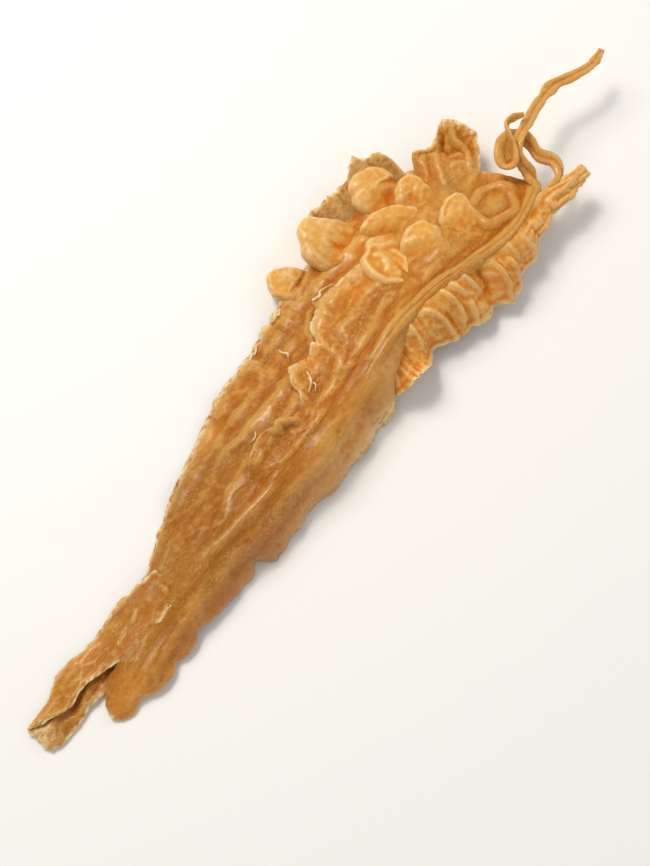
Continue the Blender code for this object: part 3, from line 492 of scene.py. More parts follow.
def fray(x, seed):
    """Fine ragged line of a torn edge."""
    return FRAY_DEPTH * (rough(x / FRAY_LENGTH, seed) + 0.6 * rough(x / (0.45 * FRAY_LENGTH), seed + 3.0))


def torn_in(x, share):
    """How far the torn edge falls short of its guide line at x."""
    side = math.copysign(1.0, share)
    crisp = crisp_share(x, side)
    depth = TEAR_DEPTH * rough(x / TEAR_LENGTH, 5.0 * side)
    depth += crisp * CRISP_DEPTH * rough(x / CRISP_LENGTH, 9.0)
    depth += fray(x, 20.0 * side) * (0.35 + 0.9 * crisp)
    if side < 0:
        depth += sum(deep * bump(x - place, half) for place, half, deep in NOTCHES)
    return depth


def dish_relief(x, y):
    """Round dished swelling near the head, with rings round it."""
    off_x, off_y = x - DISH_AT[0], y - DISH_AT[1]
    out = math.hypot(off_x, off_y) / DISH_RADIUS * (1.0 + 0.35 * rough(off_x / 9.0, off_y / 9.0, 6.4))
    uneven = 0.75 + 0.6 * rough(off_x / 8.0, off_y / 8.0, 2.4)
    return DISH_HEIGHT * (uneven * bump(out - 1.0, 0.20) + 0.35 * bump(out, 0.5))


def blade_point(along, share, fine=1.0):
    """Middle of the blade: share is 1 at the left edge, 0 on the ridge, -1 at the right."""
    ridge = on_line(RIDGE, along)
    edge = on_line(LEFT if share >= 0 else RIGHT, along)
    part = abs(share)
    x = ridge[0] + (edge[0] - ridge[0]) * part
    y = ridge[1] + (edge[1] - ridge[1]) * part
    drop = part ** (LEFT_FALL if share >= 0 else RIGHT_FALL)
    z = ridge[2] + (edge[2] - ridge[2]) * drop
    if share >= 0:
        x += HEAD_BULGE * smooth(0.9, 1.0, along) * math.sin(math.pi * part)
    off_ridge = math.copysign(math.hypot(edge[0] - ridge[0], edge[1] - ridge[1]) * part, share)
    y -= math.copysign(torn_in(x, share) * part ** 4, share)
    ends = smooth(0.0, 0.12, along)
    relief = rib_relief(x, off_ridge) + crease_relief(x, off_ridge, share) * partly(CREASE_AT_TAIL, ends)
    relief += WAVE_HEIGHT * rough(x / WAVE_LENGTH, y / WAVE_LENGTH, 9.1) * ends * (1 - 0.4 * part)
    relief += edge_relief(x, share) * ends
    off_rib = partly(FINE_AT_RIB, smooth(1.0, 5.0, abs(off_ridge)))
    relief += fine * fine_relief(x, off_ridge, 1.7) * partly(FINE_AT_TAIL, ends) * off_rib
    relief += BLADE_FOLD_SHARE * laid_folds(x, y, BLADE_FOLDS)
    if share >= 0:
        calm = bump(math.hypot(x - DISH_AT[0], y - DISH_AT[1]), 1.3 * DISH_RADIUS)
        relief += dish_relief(x, y) - DISH_CALM * calm * relief
    slope = math.radians(RIGHT_SLOPE * smooth(0.0, 0.8, -share) - LEFT_SLOPE * smooth(0.0, 0.6, share))
    return Vector((x, y - relief * math.sin(slope), z + relief * math.cos(slope)))


def ridge_shares():
    """Shares of the ridge line at every half millimetre of X."""
    first, last = RIDGE[0][0], RIDGE[-1][0]
    shares = np.linspace(0.0, 1.0, 1200)
    xs = [on_line(RIDGE, share)[0] for share in shares]
    steps = np.arange(first, last + 0.5, 0.5)
    return first, np.interp(steps, xs, shares)


RIDGE_START, RIDGE_SHARES = ridge_shares()


def along_of(x):
    """Share of the ridge line at which it has reached x."""
    step = min(max((x - RIDGE_START) * 2.0, 0.0), len(RIDGE_SHARES) - 1.001)
    low = int(step)
    return RIDGE_SHARES[low] + (RIDGE_SHARES[low + 1] - RIDGE_SHARES[low]) * (step - low)


def ply_point(along, share):
    """Upper ply: follows the blade, and stands off it towards its scalloped free edge."""
    x = PLY_FROM + (PLY_TO - PLY_FROM) * along
    reach = between(PLY_REACH, x) + 0.02 * rough(x / 3.0, 1.5) + 0.012 * fray(x, 33.0)
    ends = smooth(0.0, 0.10, along) * (1.0 - smooth(0.92, 1.0, along))
    stand = smooth(0.0, 0.25, share) * (PLY_LOW + (PLY_LIFT - PLY_LOW) * share ** 1.5)
    curl = PLY_CURL * math.sin(x / PLY_CURL_LENGTH + 3.0 * rough(x / 12.0, 4.0)) * share ** 4
    rims = sum(high * bump(x - place, half) for place, half, high in PLY_RIMS)
    curl += rims * bump(share - PLY_RIM_AT, PLY_RIM_WIDTH)
    curl += CURL_HEIGHT * rough(x / 3.0, share * 4.0, 12.0) * share ** 6
    place = blade_point(along_of(x), PLY_ROOT + (reach - PLY_ROOT) * share)
    place.z += (stand + curl) * ends - 0.25 * (1.0 - ends * smooth(0.0, 0.15, share))
    return place


def frill_point(along, share):
    """Strip that leaves the ridge, turns down and ruffles; at the head it is a pressed band."""
    x, y, z, start, end, width = on_line(FRILL, along)
    width += fray(x, 44.0) * (0.4 + 1.3 * smooth(0.0, 0.4, rough(x / 9.0, 2.2)))
    reach = share * width / FRILL_STEPS
    band = smooth(FRILL_PRESSED_FROM, FRILL_PRESSED_TO, x)
    press = partly(FRILL_PRESSED, 1.0 - band)
    for step in range(FRILL_STEPS):
        angle = math.radians(start + (end - start) * share * (step + 0.5) / FRILL_STEPS)
        y -= reach * math.cos(angle)
        z -= reach * math.sin(angle) * press
    last = math.radians(start + (end - start) * share)
    swing = 0.0
    for root, hem, bow, first, final, high, half in FRILL_FOLDS:
        off = x - root - (hem - root) * share - 4.0 * bow * share * (1.0 - share)
        ends = smooth(first, first + 0.25, share) * (1.0 - smooth(final - 0.3, final, share))
        swing += high * fin(off, half * (FOLD_LONG_SIDE if off < 0 else FOLD_STEEP_SIDE)) * ends
    swing *= smooth(0.0, 0.1, share) * (1.0 - FOLD_LOSS_AT_HEM * smooth(0.6, 1.0, share))
    swing += FRILL_LIP * smooth(FRILL_LIP_FROM, 1.0, share)
    swing += share ** 2 * sum(out * bump(x - place, half) for place, half, out in HEM_LOBES)
    off_root = smooth(0.0, 0.2, share)
    swing += off_root * sum(high * crumpled(x, share * width, size, 6.6) for high, size in FRILL_CRUMPLES)
    creases = BAND_CREASE * creased(x, share * width, BAND_CREASE_LENGTH, BAND_CREASE_PITCH, 3.6)
    swing += band * (creases + BAND_SWELL * rough(x / BAND_SWELL_LENGTH, share * 2.0, 9.6))
    swing += FRILL_SWELL * rough(x / FRILL_SWELL_SIZE, share * width / FRILL_SWELL_SIZE, 2.8)
    y -= swing * math.sin(last)
    z += swing * math.cos(last)
    return Vector((x + 0.5 * rough(x / 6.0, share * 3.0, 8.0), y, max(z, SHEET_FLOOR)))


def flap_point(along, share):
    """Head flap: dished middle, rolled rim, crumpled all over."""
    x, y, z = across(FLAP_RIGHT, FLAP_LEFT, along, share)
    x += FLAP_BOW * smooth(0.75, 1.0, along) * math.sin(math.pi * share)
    to_rim = min(share, 1.0 - share, (1.0 - along) * 1.2) * 2.0
    free = smooth(0.3, 0.7, along - FLAP_LATE * (1.0 - share))
    far = smooth(0.3, 0.9, along)
    z += free * FLAP_RIM * bump(to_rim, 0.30) - far * FLAP_HOLLOW * smooth(0.3, 0.9, to_rim)
    z += FLAP_SWELL * math.sin(math.pi * share) * (1.0 - smooth(0.5, 0.8, along))
    z -= FLAP_SUNK_ROOT * (1.0 - smooth(0.0, 0.22, along))
    high, size, seed = FLAP_BIG_CRUMPLE
    z += free * high * crumpled(x, y, size, seed)
    z += partly(FLAP_FOLDS_AT_ROOT, free) * laid_folds(x, y, FLAP_FOLDS)
    crumples = sum(high * crumpled(x, y, size, seed) for high, size, seed in FLAP_CRUMPLES)
    z += partly(FLAP_CRUMPLES_AT_ROOT, free) * crumples
    x += free * sum(reach * rough(x / size, y / size, seed) for reach, size, seed, _ in FLAP_STRAY)
    y += free * sum(reach * rough(x / size, y / size, seed) for reach, size, _, seed in FLAP_STRAY)
    return Vector((x, y, z))


def web_point(along, share):
    """Thin web between the margin pouches: wavy, with a torn free edge."""
    x, y, z = across(WEB_ROOT, WEB_FREE, along, share)
    y -= (WEB_TEAR * rough(x / 3.0, 6.6) + WEB_FRAY * fray(x, 61.0)) * share ** 3
    x += WEB_STRAY * rough(y / 3.0, x / 6.0, 2.0) * share
    z += share * WEB_WAVE * math.sin(x / WEB_WAVE_LENGTH + 2.0 * rough(x / 9.0, 3.0))
    z += share * WEB_CRUMPLE * crumpled(x, y, WEB_CRUMPLE_SIZE, 1.0)
    return Vector((x, y, max(z, SHEET_FLOOR)))


def tongue_point(edge_line, along, share, lift):
    """Tail tongue, between its left line and the given one."""
    x, y, z = across(TONGUE_LEFT, edge_line, along, share)
    z += (lift + TONGUE_WAVE * rough(x / 14.0, y / 7.0, 5.5)) * smooth(0.0, 0.2, along)
    z += TONGUE_CREASE * creased(x, y, TONGUE_CREASE_LENGTH, TONGUE_CREASE_PITCH, 5.2)
    z += TONGUE_CRUMPLE * crumpled(x / TONGUE_CRUMPLE_STRETCH, y, TONGUE_CRUMPLE_SIZE, 5.0)
    frayed = TONGUE_FRAY * fray(x, 50.0 + round(share)) * abs(2 * share - 1) ** 6
    y += TONGUE_STRAY * rough(x / 5.0, share * 2.0, 2.2) + frayed
    x += TONGUE_TEAR * rough(y / 2.6, 3.0, 4.0) * smooth(0.85, 1.0, along)
    return Vector((x, y, max(z, SHEET_FLOOR)))


def to_edge(*distances):
    """1 inside a sheet, falling to 0 at the nearest free edge."""
    return smooth(0.0, 1.0, min(distances))


def mesh_of(name, bm):
    """Mesh of triangles made from a bmesh, which is freed."""
    bmesh.ops.triangulate(bm, faces=bm.faces[:])
    mesh = bpy.data.meshes.new(name)
    bm.to_mesh(mesh)
    bm.free()
    return mesh


def store(mesh, name, values):
    """Keeps one number for each vertex of a mesh."""
    layer = mesh.attributes.get(name) or mesh.attributes.new(name, "FLOAT", "POINT")
    layer.data.foreach_set("value", np.asarray(values, np.float32))


def stored(mesh, name):
    """The numbers kept for the vertices of a mesh."""
    values = np.zeros(len(mesh.vertices), np.float32)
    mesh.attributes[name].data.foreach_get("value", values)
    return values


# Numbers that each shape keeps for its tones: how near a free edge, how pale, how far
# streaks and fibres show, and how grey it dried.
LOOKS = ("edge", "pale", "grain", "dull")


def keep_looks(mesh, *looks):
    """Keeps the LOOKS of a shape, each as one number for each vertex or one for them all."""
    for name, values in zip(LOOKS, looks):
        store(mesh, name, np.zeros(len(mesh.vertices)) + np.asarray(values))


def sheet(name, grid, place, thick, inside, pale=None, dull=None, grain=1.0):
    """Thin wavy solid: a flat grid laid on place(along, share), then thickened.
    inside(along, share) is 0 at a free edge and 1 away from it, pale(along, share) its paleness,
    dull(along, share) how grey it dried, and grain how far it shows streaks and fibres."""
    bm = bmesh.new()
    bmesh.ops.create_grid(bm, x_segments=grid[0], y_segments=grid[1], size=0.5)
    shares = [(vert.co.x + 0.5, vert.co.y + 0.5) for vert in bm.verts]
    for vert, (along, share) in zip(bm.verts, shares):
        vert.co = place(along, share)
    mesh = mesh_of(name, bm)
    depth = [inside(along, share) for along, share in shares]
    paleness = [pale(along, share) if pale else 0.0 for along, share in shares]
    dullness = [dull(along, share) if dull else 0.0 for along, share in shares]
    keep_looks(mesh, [1.0 - value for value in depth], paleness, grain, dullness)
    piece = bpy.data.objects.new(name, mesh)
    group = piece.vertex_groups.new(name="thickness")
    for index, value in enumerate(depth):
        group.add([index], max(EDGE_SHARE, value), "REPLACE")
    thicken = piece.modifiers.new("thickness", "SOLIDIFY")
    thicken.thickness = thick
    thicken.offset = 0.0
    thicken.vertex_group = group.name
    return piece


def on_blade(x, y):
    """Height of the blade's middle at a place seen from above, and whether it reaches there."""
    along = along_of(x)
    ridge, edge = on_line(RIDGE, along), on_line(LEFT, along)
    share = max((y - ridge[1]) / (edge[1] - ridge[1]), 0.0)
    return blade_point(along, min(share, 1.0), fine=0.0).z, share < 0.97


def pouch(name, middle, stand, spread, heights, free_side, lean, dent, rim):
    """Puffed pouch: free and raised on one side, gathered into the blade on the other."""
    seed = len(name) + middle[0] * 0.37
    base = on_blade(*middle)[0] + stand
    rise = math.tan(math.radians(lean)) * spread[0]
    cos_free, sin_free = math.cos(math.radians(free_side)), math.sin(math.radians(free_side))
    bm = bmesh.new()
    bmesh.ops.create_uvsphere(bm, u_segments=POUCH_GRID[0], v_segments=POUCH_GRID[1], radius=1.0)
    edges, roots = [], []
    for vert in bm.verts:
        front, side, up = vert.co
        out, angle = math.hypot(front, side), math.atan2(side, front)
        reach = 1.0 + POUCH_OUTLINE * 2.0 * rough(math.cos(angle), math.sin(angle), seed)
        reach += POUCH_OUTLINE * rough(2.2 * math.cos(angle), 2.2 * math.sin(angle), seed)
        back = smooth(0.0, 1.0, -front)
        ahead = front * spread[0] * reach * (1.0 + POUCH_NECK * back)
        aside = side * spread[1] * reach * (1.0 - POUCH_NECK * back)
        x = middle[0] + ahead * cos_free - aside * sin_free
        y = middle[1] + ahead * sin_free + aside * cos_free
        blade, over = on_blade(x, y)
        free = smooth(POUCH_ROOT_FROM, POUCH_ROOT_TO, front) if over else 1.0
        z = free * (base + rise * front) + (1.0 - free) * blade
        puff = partly(POUCH_ROOT_PUFF, free) * abs(up) ** POUCH_BULGE
        if up >= 0:
            z += heights[0] * (puff - dent * free * bump(out, POUCH_DENT_WIDTH))
            z += rim * bump(out - POUCH_RIM_AT, POUCH_RIM_WIDTH) * smooth(-0.4, 0.6, front)
            fade = smooth(0.0, 0.5, up)
            z += POUCH_FOLD_SHARE * fade * laid_folds(x, y, POUCH_FOLDS[name])
            z += fade * sum(high * rough(x / size, y / size, seed) for high, size in POUCH_SWELLS)
            z += fade * sum(high * crumpled(x, y, size, seed) for high, size in POUCH_CRUMPLES)
        else:
            z -= heights[1] * puff
        if over:
            z = max(z, blade - POUCH_SUNK + POUCH_SUNK * max(up, 0.0))
        vert.co = Vector((x, y, z))
        # Pale edge on the upper face of the free rim: partly crisp dried edge, partly painted highlight.
        edge = bump(out - POUCH_EDGE_AT, POUCH_EDGE_WIDTH) * smooth(-0.5, 0.3, front) * (up >= 0)
        edges.append(POUCH_EDGE_SHARE * edge)
        roots.append(smooth(POUCH_ROOT_FROM_TONE, POUCH_ROOT_TO_TONE, -front))
    mesh = mesh_of(name, bm)
    keep_looks(mesh, edges, [1.0 - POUCH_ROOT_LOSS * root for root in roots], roots, 0.0)
    return bpy.data.objects.new(name, mesh)


def thread_route(points):
    """Route of a torn thread, from points measured off the blade."""
    return [(x, y, on_blade(x, y)[0] + height, half) for x, y, height, half in points]


def horn(name, route):
    """Dried cord: a flattened grooved section swept along a smooth route."""
    section = bpy.data.curves.new(name + "_section", "CURVE")
    oval = section.splines.new("POLY")
    oval.points.add(HORN_SIDES - 1)
    for i, point in enumerate(oval.points):
        angle = 2 * math.pi * i / HORN_SIDES
        groove = HORN_GROOVE * bump(angle - math.pi / 2, HORN_GROOVE_WIDTH)
        out = 1.0 + HORN_CORNERS * math.cos(3 * angle + 0.6) - groove
        point.co = (out * math.cos(angle), HORN_FLAT * out * math.sin(angle), 0.0, 1.0)
    oval.use_cyclic_u = True
    profile = bpy.data.objects.new(name + "_section", section)
    length = sum(math.dist(a[:3], b[:3]) for a, b in zip(route, route[1:]))
    count = round(length / HORN_STEP)
    curve = bpy.data.curves.new(name, "CURVE")
    curve.dimensions = "3D"
    curve.bevel_mode = "OBJECT"
    curve.bevel_object = profile
    curve.use_fill_caps = True
    line = curve.splines.new("POLY")
    line.points.add(count)
    for i, point in enumerate(line.points):
        x, y, z, half = on_line(route, i / count)
        at = i * HORN_STEP
        point.co = (x, y, z, 1.0)
        swell = HORN_SWELL * rough(at / HORN_SWELL_LENGTH, len(name))
        pinch = HORN_PINCH * rough(at / HORN_PINCH_LENGTH, 5.0)
        point.radius = half * (1.0 + swell + pinch)
        point.tilt = HORN_TWIST * rough(at / HORN_TWIST_LENGTH, 3.0 + len(name))
    return curve_to_mesh(name, curve, [profile])


def curve_to_mesh(name, curve, helpers=()):
    """Mesh object made from a curve, with its end caps welded on."""
    source = bpy.data.objects.new(name + "_curve", curve)
    for item in [source, *helpers]:
        bpy.context.scene.collection.objects.link(item)
    graph = bpy.context.evaluated_depsgraph_get()
    mesh = bpy.data.meshes.new_from_object(source.evaluated_get(graph))
    piece = bpy.data.objects.new(name, mesh)
    for item in [source, *helpers]:
        bpy.data.objects.remove(item)
    bm = bmesh.new()
    bm.from_mesh(mesh)
    bmesh.ops.remove_doubles(bm, verts=bm.verts[:], dist=WELD)
    bmesh.ops.triangulate(bm, faces=bm.faces[:])
    bmesh.ops.recalc_face_normals(bm, faces=bm.faces[:])
    bm.to_mesh(mesh)
    bm.free()
    keep_looks(mesh, 0.0, 0.25, 0.8, 0.6)
    return piece


def blade_share(row):
    """Share from the ridge for a share of the blade's rows, crowded near the ridge."""
    step = row * BLADE_GRID[1] - BLADE_ROWS_RIGHT
    if step < 0:
        return -(-step / BLADE_ROWS_RIGHT) ** BLADE_CROWD
    return (step / (BLADE_GRID[1] - BLADE_ROWS_RIGHT)) ** BLADE_CROWD


def evaluated(piece):
    """A copy of a piece's mesh with its modifiers applied."""
    graph = bpy.context.evaluated_depsgraph_get()
    return bpy.data.meshes.new_from_object(piece.evaluated_get(graph))


def boolean(piece, operation, other):
    """Boolean modifier with an object or a whole collection."""
    modifier = piece.modifiers.new(operation.lower(), "BOOLEAN")
    modifier.operation = operation
    modifier.solver = "MANIFOLD"
    if isinstance(other, bpy.types.Collection):
        modifier.operand_type = "COLLECTION"
        modifier.collection = other
    else:
        modifier.object = other


def ground():
    """Block below the surface that the maw lies on, which trims its foot flat."""
    bpy.ops.mesh.primitive_cube_add(size=GROUND_SIZE, location=(0, 0, -GROUND_SIZE / 2))
    return bpy.context.object


def join(shapes):
    """One mesh of all the shapes, trimmed flat underneath, and the shapes' own vertices."""
    base, others = shapes[0], shapes[1:]
    bpy.context.scene.collection.objects.link(base)
    collection = bpy.data.collections.new("joined")
    bpy.context.scene.collection.children.link(collection)
    for piece in others:
        collection.objects.link(piece)
    sources = [evaluated(piece) for piece in shapes]
    block = ground()
    if others:
        boolean(base, "UNION", collection)
    boolean(base, "DIFFERENCE", block)
    mesh = evaluated(base)
    for piece in shapes + [block]:
        bpy.data.objects.remove(piece)
    bpy.data.collections.remove(collection)
    return mesh, sources


def keep_largest(bm):
    """Drops loose scraps and inner hollows."""
    groups, seen = [], set()
    for start in bm.faces:
        if start in seen:
            continue
        seen.add(start)
        group, queue = [], [start]
        while queue:
            face = queue.pop()
            group.append(face)
            for edge in face.edges:
                if len(edge.link_faces) != 2:
                    continue
                for other in edge.link_faces:
                    if other not in seen:
                        seen.add(other)
                        queue.append(other)
        groups.append(group)
    groups.sort(key=len)
    scraps = [face for group in groups[:-1] for face in group]
    bmesh.ops.delete(bm, geom=scraps, context="FACES")


def carry_over(mesh, sources):
    """Gives each vertex the numbers of the nearest source vertex. Returns which lie on a seam."""
    tree = kdtree.KDTree(sum(len(source.vertices) for source in sources))
    index = 0
    for source in sources:
        for vert in source.vertices:
            tree.insert(vert.co, index)
            index += 1
    tree.balance()
    found = [tree.find(vert.co) for vert in mesh.vertices]
    for name in LOOKS:
        values = np.concatenate([stored(source, name) for source in sources])
        store(mesh, name, values[[item[1] for item in found]])
    return [i for i, item in enumerate(found) if item[2] > SEAM_GAP]


def soften(bm, seam):
    """Rounds the sharp join lines between the shapes."""
    bm.verts.ensure_lookup_table()
    band = {bm.verts[i] for i in seam if bm.verts[i].co.z > SHEET_FLOOR}
    for _ in range(SEAM_RINGS):
        band |= {edge.other_vert(vert) for vert in band for edge in vert.link_edges}
    for _ in range(SEAM_PASSES):
        bmesh.ops.smooth_vert(bm, verts=list(band), factor=0.5,
                              use_axis_x=True, use_axis_y=True, use_axis_z=True)


def neighbour_mean(values, ends, count):
    """Mean over each vertex's neighbours."""
    own, other = ends.ravel(), ends[:, ::-1].ravel()
    total = [np.bincount(own, values[other, axis], len(values)) for axis in range(3)]
    return np.stack(total, axis=1) / count[:, None]


# Kept numbers for hollows: passes of the blur they are measured from, and the depth in
# metres that counts as full. The material paints shade into the valleys and grooves that
# they mark, and highlights onto the crests.
HOLLOWS = {"groove": (4, 0.00022), "hollow": (34, 0.0011)}


def hollows(mesh):
    """Keeps how far each vertex lies in a valley (to 1) or on a crest (to 0), at two sizes."""
    size = len(mesh.vertices)
    places = np.zeros(size * 3, np.float64)
    mesh.vertices.foreach_get("co", places)
    places = places.reshape(-1, 3)
    ends = np.zeros(len(mesh.edges) * 2, np.int64)
    mesh.edges.foreach_get("vertices", ends)
    ends = ends.reshape(-1, 2)
    count = np.maximum(np.bincount(ends.ravel(), minlength=size), 1)
    normals = np.zeros(size * 3, np.float64)
    mesh.vertex_normals.foreach_get("vector", normals)
    normals = normals.reshape(-1, 3)
    for name, (passes, depth) in HOLLOWS.items():
        blurred = places
        for _ in range(passes):
            blurred = neighbour_mean(blurred, ends, count)
        sunk = np.einsum("ij,ij->i", blurred - places, normals)
        store(mesh, name, np.clip(0.5 + 0.5 * sunk / depth, 0.0, 1.0))


# Browner stretch of the blade: middle and half length along X.
BROWN_AT, BROWN_HALF = -64.0, 41.0

# Spots that dried grey, pale, brown, deep orange or crisp: x, y, half sizes, share. The deep
# spots on the steep right side are painted shade, the last four crisp spots are painted
# highlights on the pouches, and the brown spot at (-134, 20) only darkens the tongue's root.
SPOTS = {
    "dull": [
        (126, 17, 5, 5, 0.9), (124, 40, 8, 8, 0.4), (70, 79, 6, 6, 1.0), (88, 77, 6, 6, 1.0),
        (-6, 41, 12, 5, 0.3), (-28, 34, 12, 6, 0.25), (-52, 40, 16, 8, 0.5), (20, 12, 12, 6, 0.2),
        (55, 28, 16, 7, 0.4), (-90, 30, 12, 12, 0.4), (22, 50, 14, 5, 0.2),
    ],
    "pale": [
        (32, 4, 11, 5, 0.45), (60, 42, 11, 6, 0.75), (-17, 1, 12, 4, 0.25), (4, -2, 9, 4, 0.35),
        (-36, 50, 7, 4, 0.6), (73, 55, 9, 6, 0.5), (133, 37, 8, 8, 0.25), (-138, 3, 10, 5, 0.35),
        (100, 40, 14, 8, 0.2),
    ],
    # The spot at (-134, 20) only darkens the root of the tail tongue.
    "brown": [
        (-13, 39, 9, 6, 0.5), (-26, 33, 10, 6, 0.4), (18, 54, 14, 8, 0.5), (-46, 25, 14, 8, 1.0),
        (-134, 20, 10, 7, 1.0), (-103, 6, 14, 8, 0.7), (-92, 0, 10, 8, 0.9), (-66, 24, 14, 8, 1.0),
        (-154, 18, 10, 8, 1.0), (-168, 15, 8, 5, 0.8), (4, 38, 12, 6, 0.3),
    ],
    # Deep orange along the steep right side that faces away from the light is painted shade, laid over a
    # deeper orange zone near the ridge.
    "deep": [
        (-112, -1, 16, 5, 0.8), (-84, -2, 16, 5, 1.0), (-56, 0, 18, 6, 1.0), (-30, -2, 14, 5, 0.3),
        (18, 2, 16, 6, 0.35), (34, 10, 10, 5, 0.5),
    ],
    # The last four of these spots, on the pouches, are painted highlights.
    "edge": [
        (-175, 20, 6, 7, 0.8), (40, 61, 6, 3, 0.5), (137, 36, 3, 8, 0.2), (81, 48, 3.0, 2.2, 0.6),
        (71, 73, 2.6, 2.2, 0.5), (46, 71, 4, 3, 0.6), (57, 68, 2, 2, 0.7),
    ],
}


def keep_tones(mesh):
    """Keeps how brown the membrane is along its length, and the spots of other tones, among them painted
    shade and painted highlights.
    """
    places = np.zeros(len(mesh.vertices) * 3, np.float32)
    mesh.vertices.foreach_get("co", places)
    x, y = places[0::3] / MM + MIDDLE[0], places[1::3] / MM + MIDDLE[1]
    store(mesh, "brown", np.exp(-((x - BROWN_AT) / BROWN_HALF) ** 2))
    store(mesh, "deep", np.zeros(len(x)))
    for name, spots in SPOTS.items():
        values = stored(mesh, name)
        for at_x, at_y, half_x, half_y, share in spots:
            off = ((x - at_x) / half_x) ** 2 + ((y - at_y) / half_y) ** 2
            values = np.maximum(values, share * np.exp(-off))
        store(mesh, name, values)


def made_piece(name, shapes, material):
    """One finished piece from several shapes: joined, softened at its seams, moved into the frame."""
    mesh, sources = join(shapes)
    seam = carry_over(mesh, sources)
    bm = bmesh.new()
    bm.from_mesh(mesh)
    soften(bm, seam)
    keep_largest(bm)
    bmesh.ops.triangulate(bm, faces=bm.faces[:])
    for vert in bm.verts:
        vert.co = Vector((vert.co.x - MIDDLE[0], vert.co.y - MIDDLE[1], max(vert.co.z, 0.0))) * MM
    bm.to_mesh(mesh)
    bm.free()
    mesh.name = name
    mesh.shade_smooth()
    hollows(mesh)
    keep_tones(mesh)
    mesh.materials.clear()
    mesh.materials.append(material)
    piece = bpy.data.objects.new(name, mesh)
    bpy.context.scene.collection.objects.link(piece)
    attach(piece, "root")
    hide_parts(NODE)
    print(name, "triangles", len(mesh.polygons))
    return piece


def sheets():
    """Blade, ply, flap and tail tongue."""
    return [
        sheet("blade", BLADE_GRID, lambda a, s: blade_point(a, blade_share(s)), BLADE_THICK,
              lambda a, s: to_edge(s * 12 + 0.6 - 0.6 * smooth(0.45, 0.65, a), (1 - s) * 18, a * 60), None,
              lambda a, s: 0.8 * bump(blade_share(s), 0.035) * smooth(0.5, 0.65, a)),
        sheet("ply", PLY_GRID, ply_point, PLY_THICK,
              lambda a, s: to_edge((1 - s) * 8 + 0.6 - 0.6 * smooth(0.25, 0.45, a)),
              lambda a, s: 0.35 * smooth(0.5, 0.9, s) * smooth(0.3, 0.5, a)),
        sheet("web", WEB_GRID, web_point, WEB_THICK,
              lambda a, s: to_edge((1 - s) * 8, a * 20, (1 - a) * 20), None, lambda a, s: 1.3),
        sheet("flap", FLAP_GRID, flap_point, FLAP_THICK,
              lambda a, s: to_edge(min(s, 1 - s) * 12 + 2 - 2 * smooth(0.35, 0.6, a), (1 - a) * 14)),
        sheet("tongue_lower", TAIL_GRID, lambda a, s: tongue_point(TONGUE_RIGHT, a, s, 0.0),
              TAIL_THICK, lambda a, s: to_edge(s * 9, (1 - s) * 9, (1 - a) * 30)),
        sheet("tongue_upper", TAIL_GRID, lambda a, s: tongue_point(TONGUE_FOLD, a, s, 0.5),
              TAIL_THICK, lambda a, s: to_edge(s * 9, (1 - s) * 9, (1 - a) * 30),
              lambda a, s: 0.15 * smooth(0.2, 0.5, a)),
    ]


def linear(code):
    """Linear colour of an sRGB hex value."""
    parts = [int(code[i:i + 2], 16) / 255.0 for i in (1, 3, 5)]
    return [part / 12.92 if part <= 0.04045 else ((part + 0.055) / 1.055) ** 2.4 for part in parts] + [1.0]


def add(tree, kind, settings=None, inputs=None):
    """Adds a node. Its settings are properties, its inputs numbers, colours or other sockets."""
    made = tree.nodes.new(kind)
    for name, value in (settings or {}).items():
        setattr(made, name, value)
    for name, value in (inputs or {}).items():
        if isinstance(value, bpy.types.NodeSocket):
            tree.links.new(value, made.inputs[name])
        else:
            made.inputs[name].default_value = value
    return made


# Patterns of the membrane: size along X, Y and Z in millimetres, detail, and the stretch of
# the noise that becomes 0 to 1. Real collagen fibres are under 0.1 mm, so they are drawn
# as bundles of half a millimetre, as fine as the render can show.
PATTERNS = {
    "cloud": ("FBM", (46, 26, 26), 2.0, 0.38, 0.64),
    "haze": ("FBM", (22, 11, 11), 4.0, 0.43, 0.61),
    "mottle": ("FBM", (11, 6, 6), 3.0, 0.40, 0.64),
    "fine_mottle": ("FBM", (2.6, 1.8, 1.8), 3.0, 0.38, 0.66),
    "crinkle": ("RIDGED_MULTIFRACTAL", (13, 6, 6), 2.0, 1.1, 2.2),
    "fine_crinkle": ("RIDGED_MULTIFRACTAL", (4.2, 2.4, 2.4), 2.0, 1.1, 2.2),
    "fibres": ("FBM", (6, 0.6, 0.9), 3.0, 0.44, 0.66),
    "pores": ("FBM", (0.6, 0.5, 0.5), 2.0, 0.35, 0.65),
    "gloss": ("FBM", (12, 7, 7), 2.0, 0.42, 0.62),
    "swirl": ("FBM", (9, 4, 6), 2.0, 0.46, 0.62),
    "streak": ("FBM", (36, 3.4, 5), 3.0, 0.46, 0.62),
    "deep_streak": ("FBM", (48, 4.4, 7), 3.0, 0.48, 0.62),
    "sparkle": ("FBM", (1.1, 0.5, 0.5), 3.0, 0.54, 0.68),
    "flecks": ("FBM", (0.6, 0.6, 0.6), 1.0, 0.69, 0.76),
    "fleck_zones": ("FBM", (18, 12, 12), 1.0, 0.42, 0.60),
    "edge_and_glint_patches": ("FBM", (3.4, 2.6, 2.6), 3.0, 0.36, 0.56),
}


# Base colour under all the layers.
AMBER = "#b86c1a"

# Stretches along X, in millimetres from the frame's origin, over which the tail's tone fades
# out and the head's fades in.
TAIL_TONE = (-140.0, -30.0)
HEAD_TONE = (0.0, 110.0)

# Masks made from the kept numbers: the number, and the stretch of it that becomes 0 to 1.
# The valley and fine groove masks carry painted shade. The crest and fine crest masks carry painted
# highlights, and the crest mask also sets the coat.
SLOPES = [
    ("valley", "hollow", 0.50, 0.92), ("crest", "hollow", 0.50, 0.08),
    ("groove_shade", "groove", 0.52, 0.90), ("groove_highlight", "groove", 0.48, 0.10),
]

